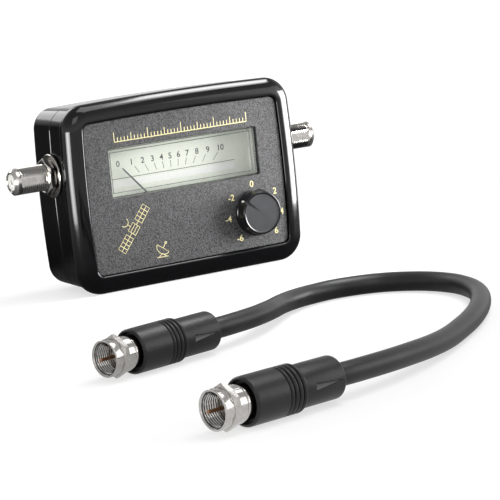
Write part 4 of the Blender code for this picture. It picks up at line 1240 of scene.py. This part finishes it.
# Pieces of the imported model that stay

def finish_kept_nodes():
    """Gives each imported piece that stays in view, or inside, its own finish."""
    kept = {
        "ivory": ["meter_base"],
        "lamp": ["dial_lamp"],
        "iron": ["meter_yoke", "spindle_front", "spindle_rear"],
        "magnet": ["magnet_core"],
        "copper": ["moving_coil"],
        "needle": ["needle"],
        "brass": ["hairspring", "pivot_bridge", "jewel_screw_front", "jewel_screw_rear",
                  "socket_contact_left", "socket_contact_right"],
        "tin": ["potentiometer", "potentiometer_shaft", "tuner_shield"],
        "nickel": ["potentiometer_nut", "plug_ferrule_a", "plug_ferrule_b"],
        "insulator": ["socket_insulator_left", "socket_insulator_right", "plug_dielectric_a",
                      "plug_dielectric_b"],
        "board": ["circuit_board"],
        "black": ["buzzer"],
        "steel": ["board_screw_1", "board_screw_2"],
    }
    for look, names in kept.items():
        for name in names:
            data = frame["nodes"][name].data
            data.materials.clear()
            data.materials.append(finishes[look])


# Floor, light and camera

def calculated(tree, operation, first, second):
    """The output of a math node on two sockets."""
    return node(tree, "Math", {0: first, 1: second}, operation=operation).outputs["Value"]


def remapped(tree, source, reach, levels):
    """A level that goes from one to another while its source crosses a reach."""
    inputs = dict(zip(("From Min", "From Max", "To Min", "To Max"), (*reach, *levels)))
    return node(tree, "MapRange", {"Value": source, **inputs}).outputs["Result"]


def away_from_dark(tree, way, light, dark):
    """A level that drops where a direction points at the dark corner behind the left side."""
    toward = node(tree, "VectorMath", {0: way, 1: dark_way}, operation="DOT_PRODUCT")
    return remapped(tree, toward.outputs["Value"], dark_shares, (light, dark))


def make_floor():
    """A plain pale floor that shows white to the camera where no shadow falls."""
    made, tree, shader = principled("floor_paper", (floor_pale,) * 3, roughness=0.9, specular=0.0)
    ramp(tree, noise(tree, scale=40, detail=2), shader.inputs["Base Color"],
         (0.3, floor_pale - floor_mottle), (0.7, floor_pale + floor_mottle))
    path = node(tree, "LightPath", {}).outputs
    place = node(tree, "TexCoord", {}).outputs["Object"]
    distance = node(tree, "VectorMath", {0: place}, operation="LENGTH").outputs["Value"]
    way = node(tree, "VectorMath", {0: place}, operation="NORMALIZE").outputs["Vector"]
    rise = remapped(tree, distance, floor_glow_reach, (floor_glow, floor_glow_far))
    seen = calculated(tree, "MULTIPLY", path["Is Camera Ray"], rise)
    glow = node(tree, "Emission", {"Color": white, "Strength": seen}).outputs["Emission"]
    lit = node(tree, "AddShader", {0: shader.outputs["BSDF"], 1: glow}).outputs["Shader"]
    # Painted shade: to mirrors the floor is darker close to the object
    near = remapped(tree, distance, floor_near_reach, (floor_mirrored_near, 1.0))
    level = away_from_dark(tree, way, floor_mirrored_light, floor_mirrored_dark)
    level = calculated(tree, "MULTIPLY", level, near)
    mirrored = node(tree, "Emission", {"Color": white, "Strength": level}).outputs["Emission"]
    chosen = node(tree, "MixShader", {"Fac": path["Is Glossy Ray"], 1: lit, 2: mirrored})
    tree.links.new(chosen.outputs["Shader"], tree.nodes["Material Output"].inputs["Surface"])
    mesh = bmesh.new()
    mesh.faces.new([mesh.verts.new((x * floor_reach, y * floor_reach, 0)) for x, y in square])
    data = mesh_data("floor", mesh)
    data.materials.append(made)
    linked("floor", data)


def make_world():
    """Soft light; the camera, glass and mirrors see white, and mirrors see it darker overhead."""
    world = bpy.data.worlds.new("studio")
    world.use_nodes = True
    tree = world.node_tree
    background = tree.nodes["Background"]
    background.inputs["Color"].default_value = white
    background.inputs["Strength"].default_value = world_strength
    plain = node(tree, "Background", {"Color": white, "Strength": white_strength})
    way = node(tree, "TexCoord", {}).outputs["Generated"]
    level = away_from_dark(tree, way, 1.0, floor_mirrored_dark)
    mirrored = node(tree, "Background", {"Strength": level})
    height = node(tree, "SeparateXYZ", {"Vector": way}).outputs["Z"]
    ramp(tree, height, mirrored.inputs["Color"], *mirrored_levels)
    path = node(tree, "LightPath", {}).outputs
    seen = calculated(tree, "MAXIMUM", path["Is Camera Ray"], path["Is Transmission Ray"])
    shown = background.outputs["Background"]
    for share, other in ((path["Is Glossy Ray"], mirrored), (seen, plain)):
        inputs = {"Fac": share, 1: shown, 2: other.outputs["Background"]}
        shown = node(tree, "MixShader", inputs).outputs["Shader"]
    tree.links.new(shown, tree.nodes["World Output"].inputs["Surface"])
    bpy.context.scene.world = world


def softbox(name, place, target, width, height, power, spread):
    """A rectangular lamp that faces a target; one with a small spread is a box with a grid."""
    lamp = bpy.data.lights.new(name, "AREA")
    lamp.shape = "RECTANGLE"
    lamp.size = width
    lamp.size_y = height
    lamp.energy = power
    lamp.spread = math.radians(spread)
    made = linked(name, lamp)
    made.location = place
    made.rotation_mode = "QUATERNION"
    made.rotation_quaternion = (Vector(target) - Vector(place)).to_track_quat("-Z", "Y")


def make_camera():
    """The camera at the photograph's viewing angle."""
    lens = bpy.data.cameras.new("camera")
    lens.lens = camera_lens
    lens.sensor_width = camera_sensor
    camera = linked("camera", lens)
    rows = [[camera_right[i], camera_up[i], camera_back[i], camera_place[i]] for i in range(3)]
    camera.matrix_world = Matrix(rows + [[0, 0, 0, 1]])
    bpy.context.scene.camera = camera


make_camera()
finishes = make_finishes()
make_lead()
make_front_shell()
make_rear_cover()
make_case_screws()
make_face_plate()
make_meter_cover()
make_dial()
make_face_print()
make_knob()
for side, name in ((-1, "left"), (1, "right")):
    make_socket(side, name)
finish_kept_nodes()
make_floor()
make_world()
for lamp in lamps:
    softbox(*lamp)
bpy.context.scene.view_settings.view_transform = "Standard"
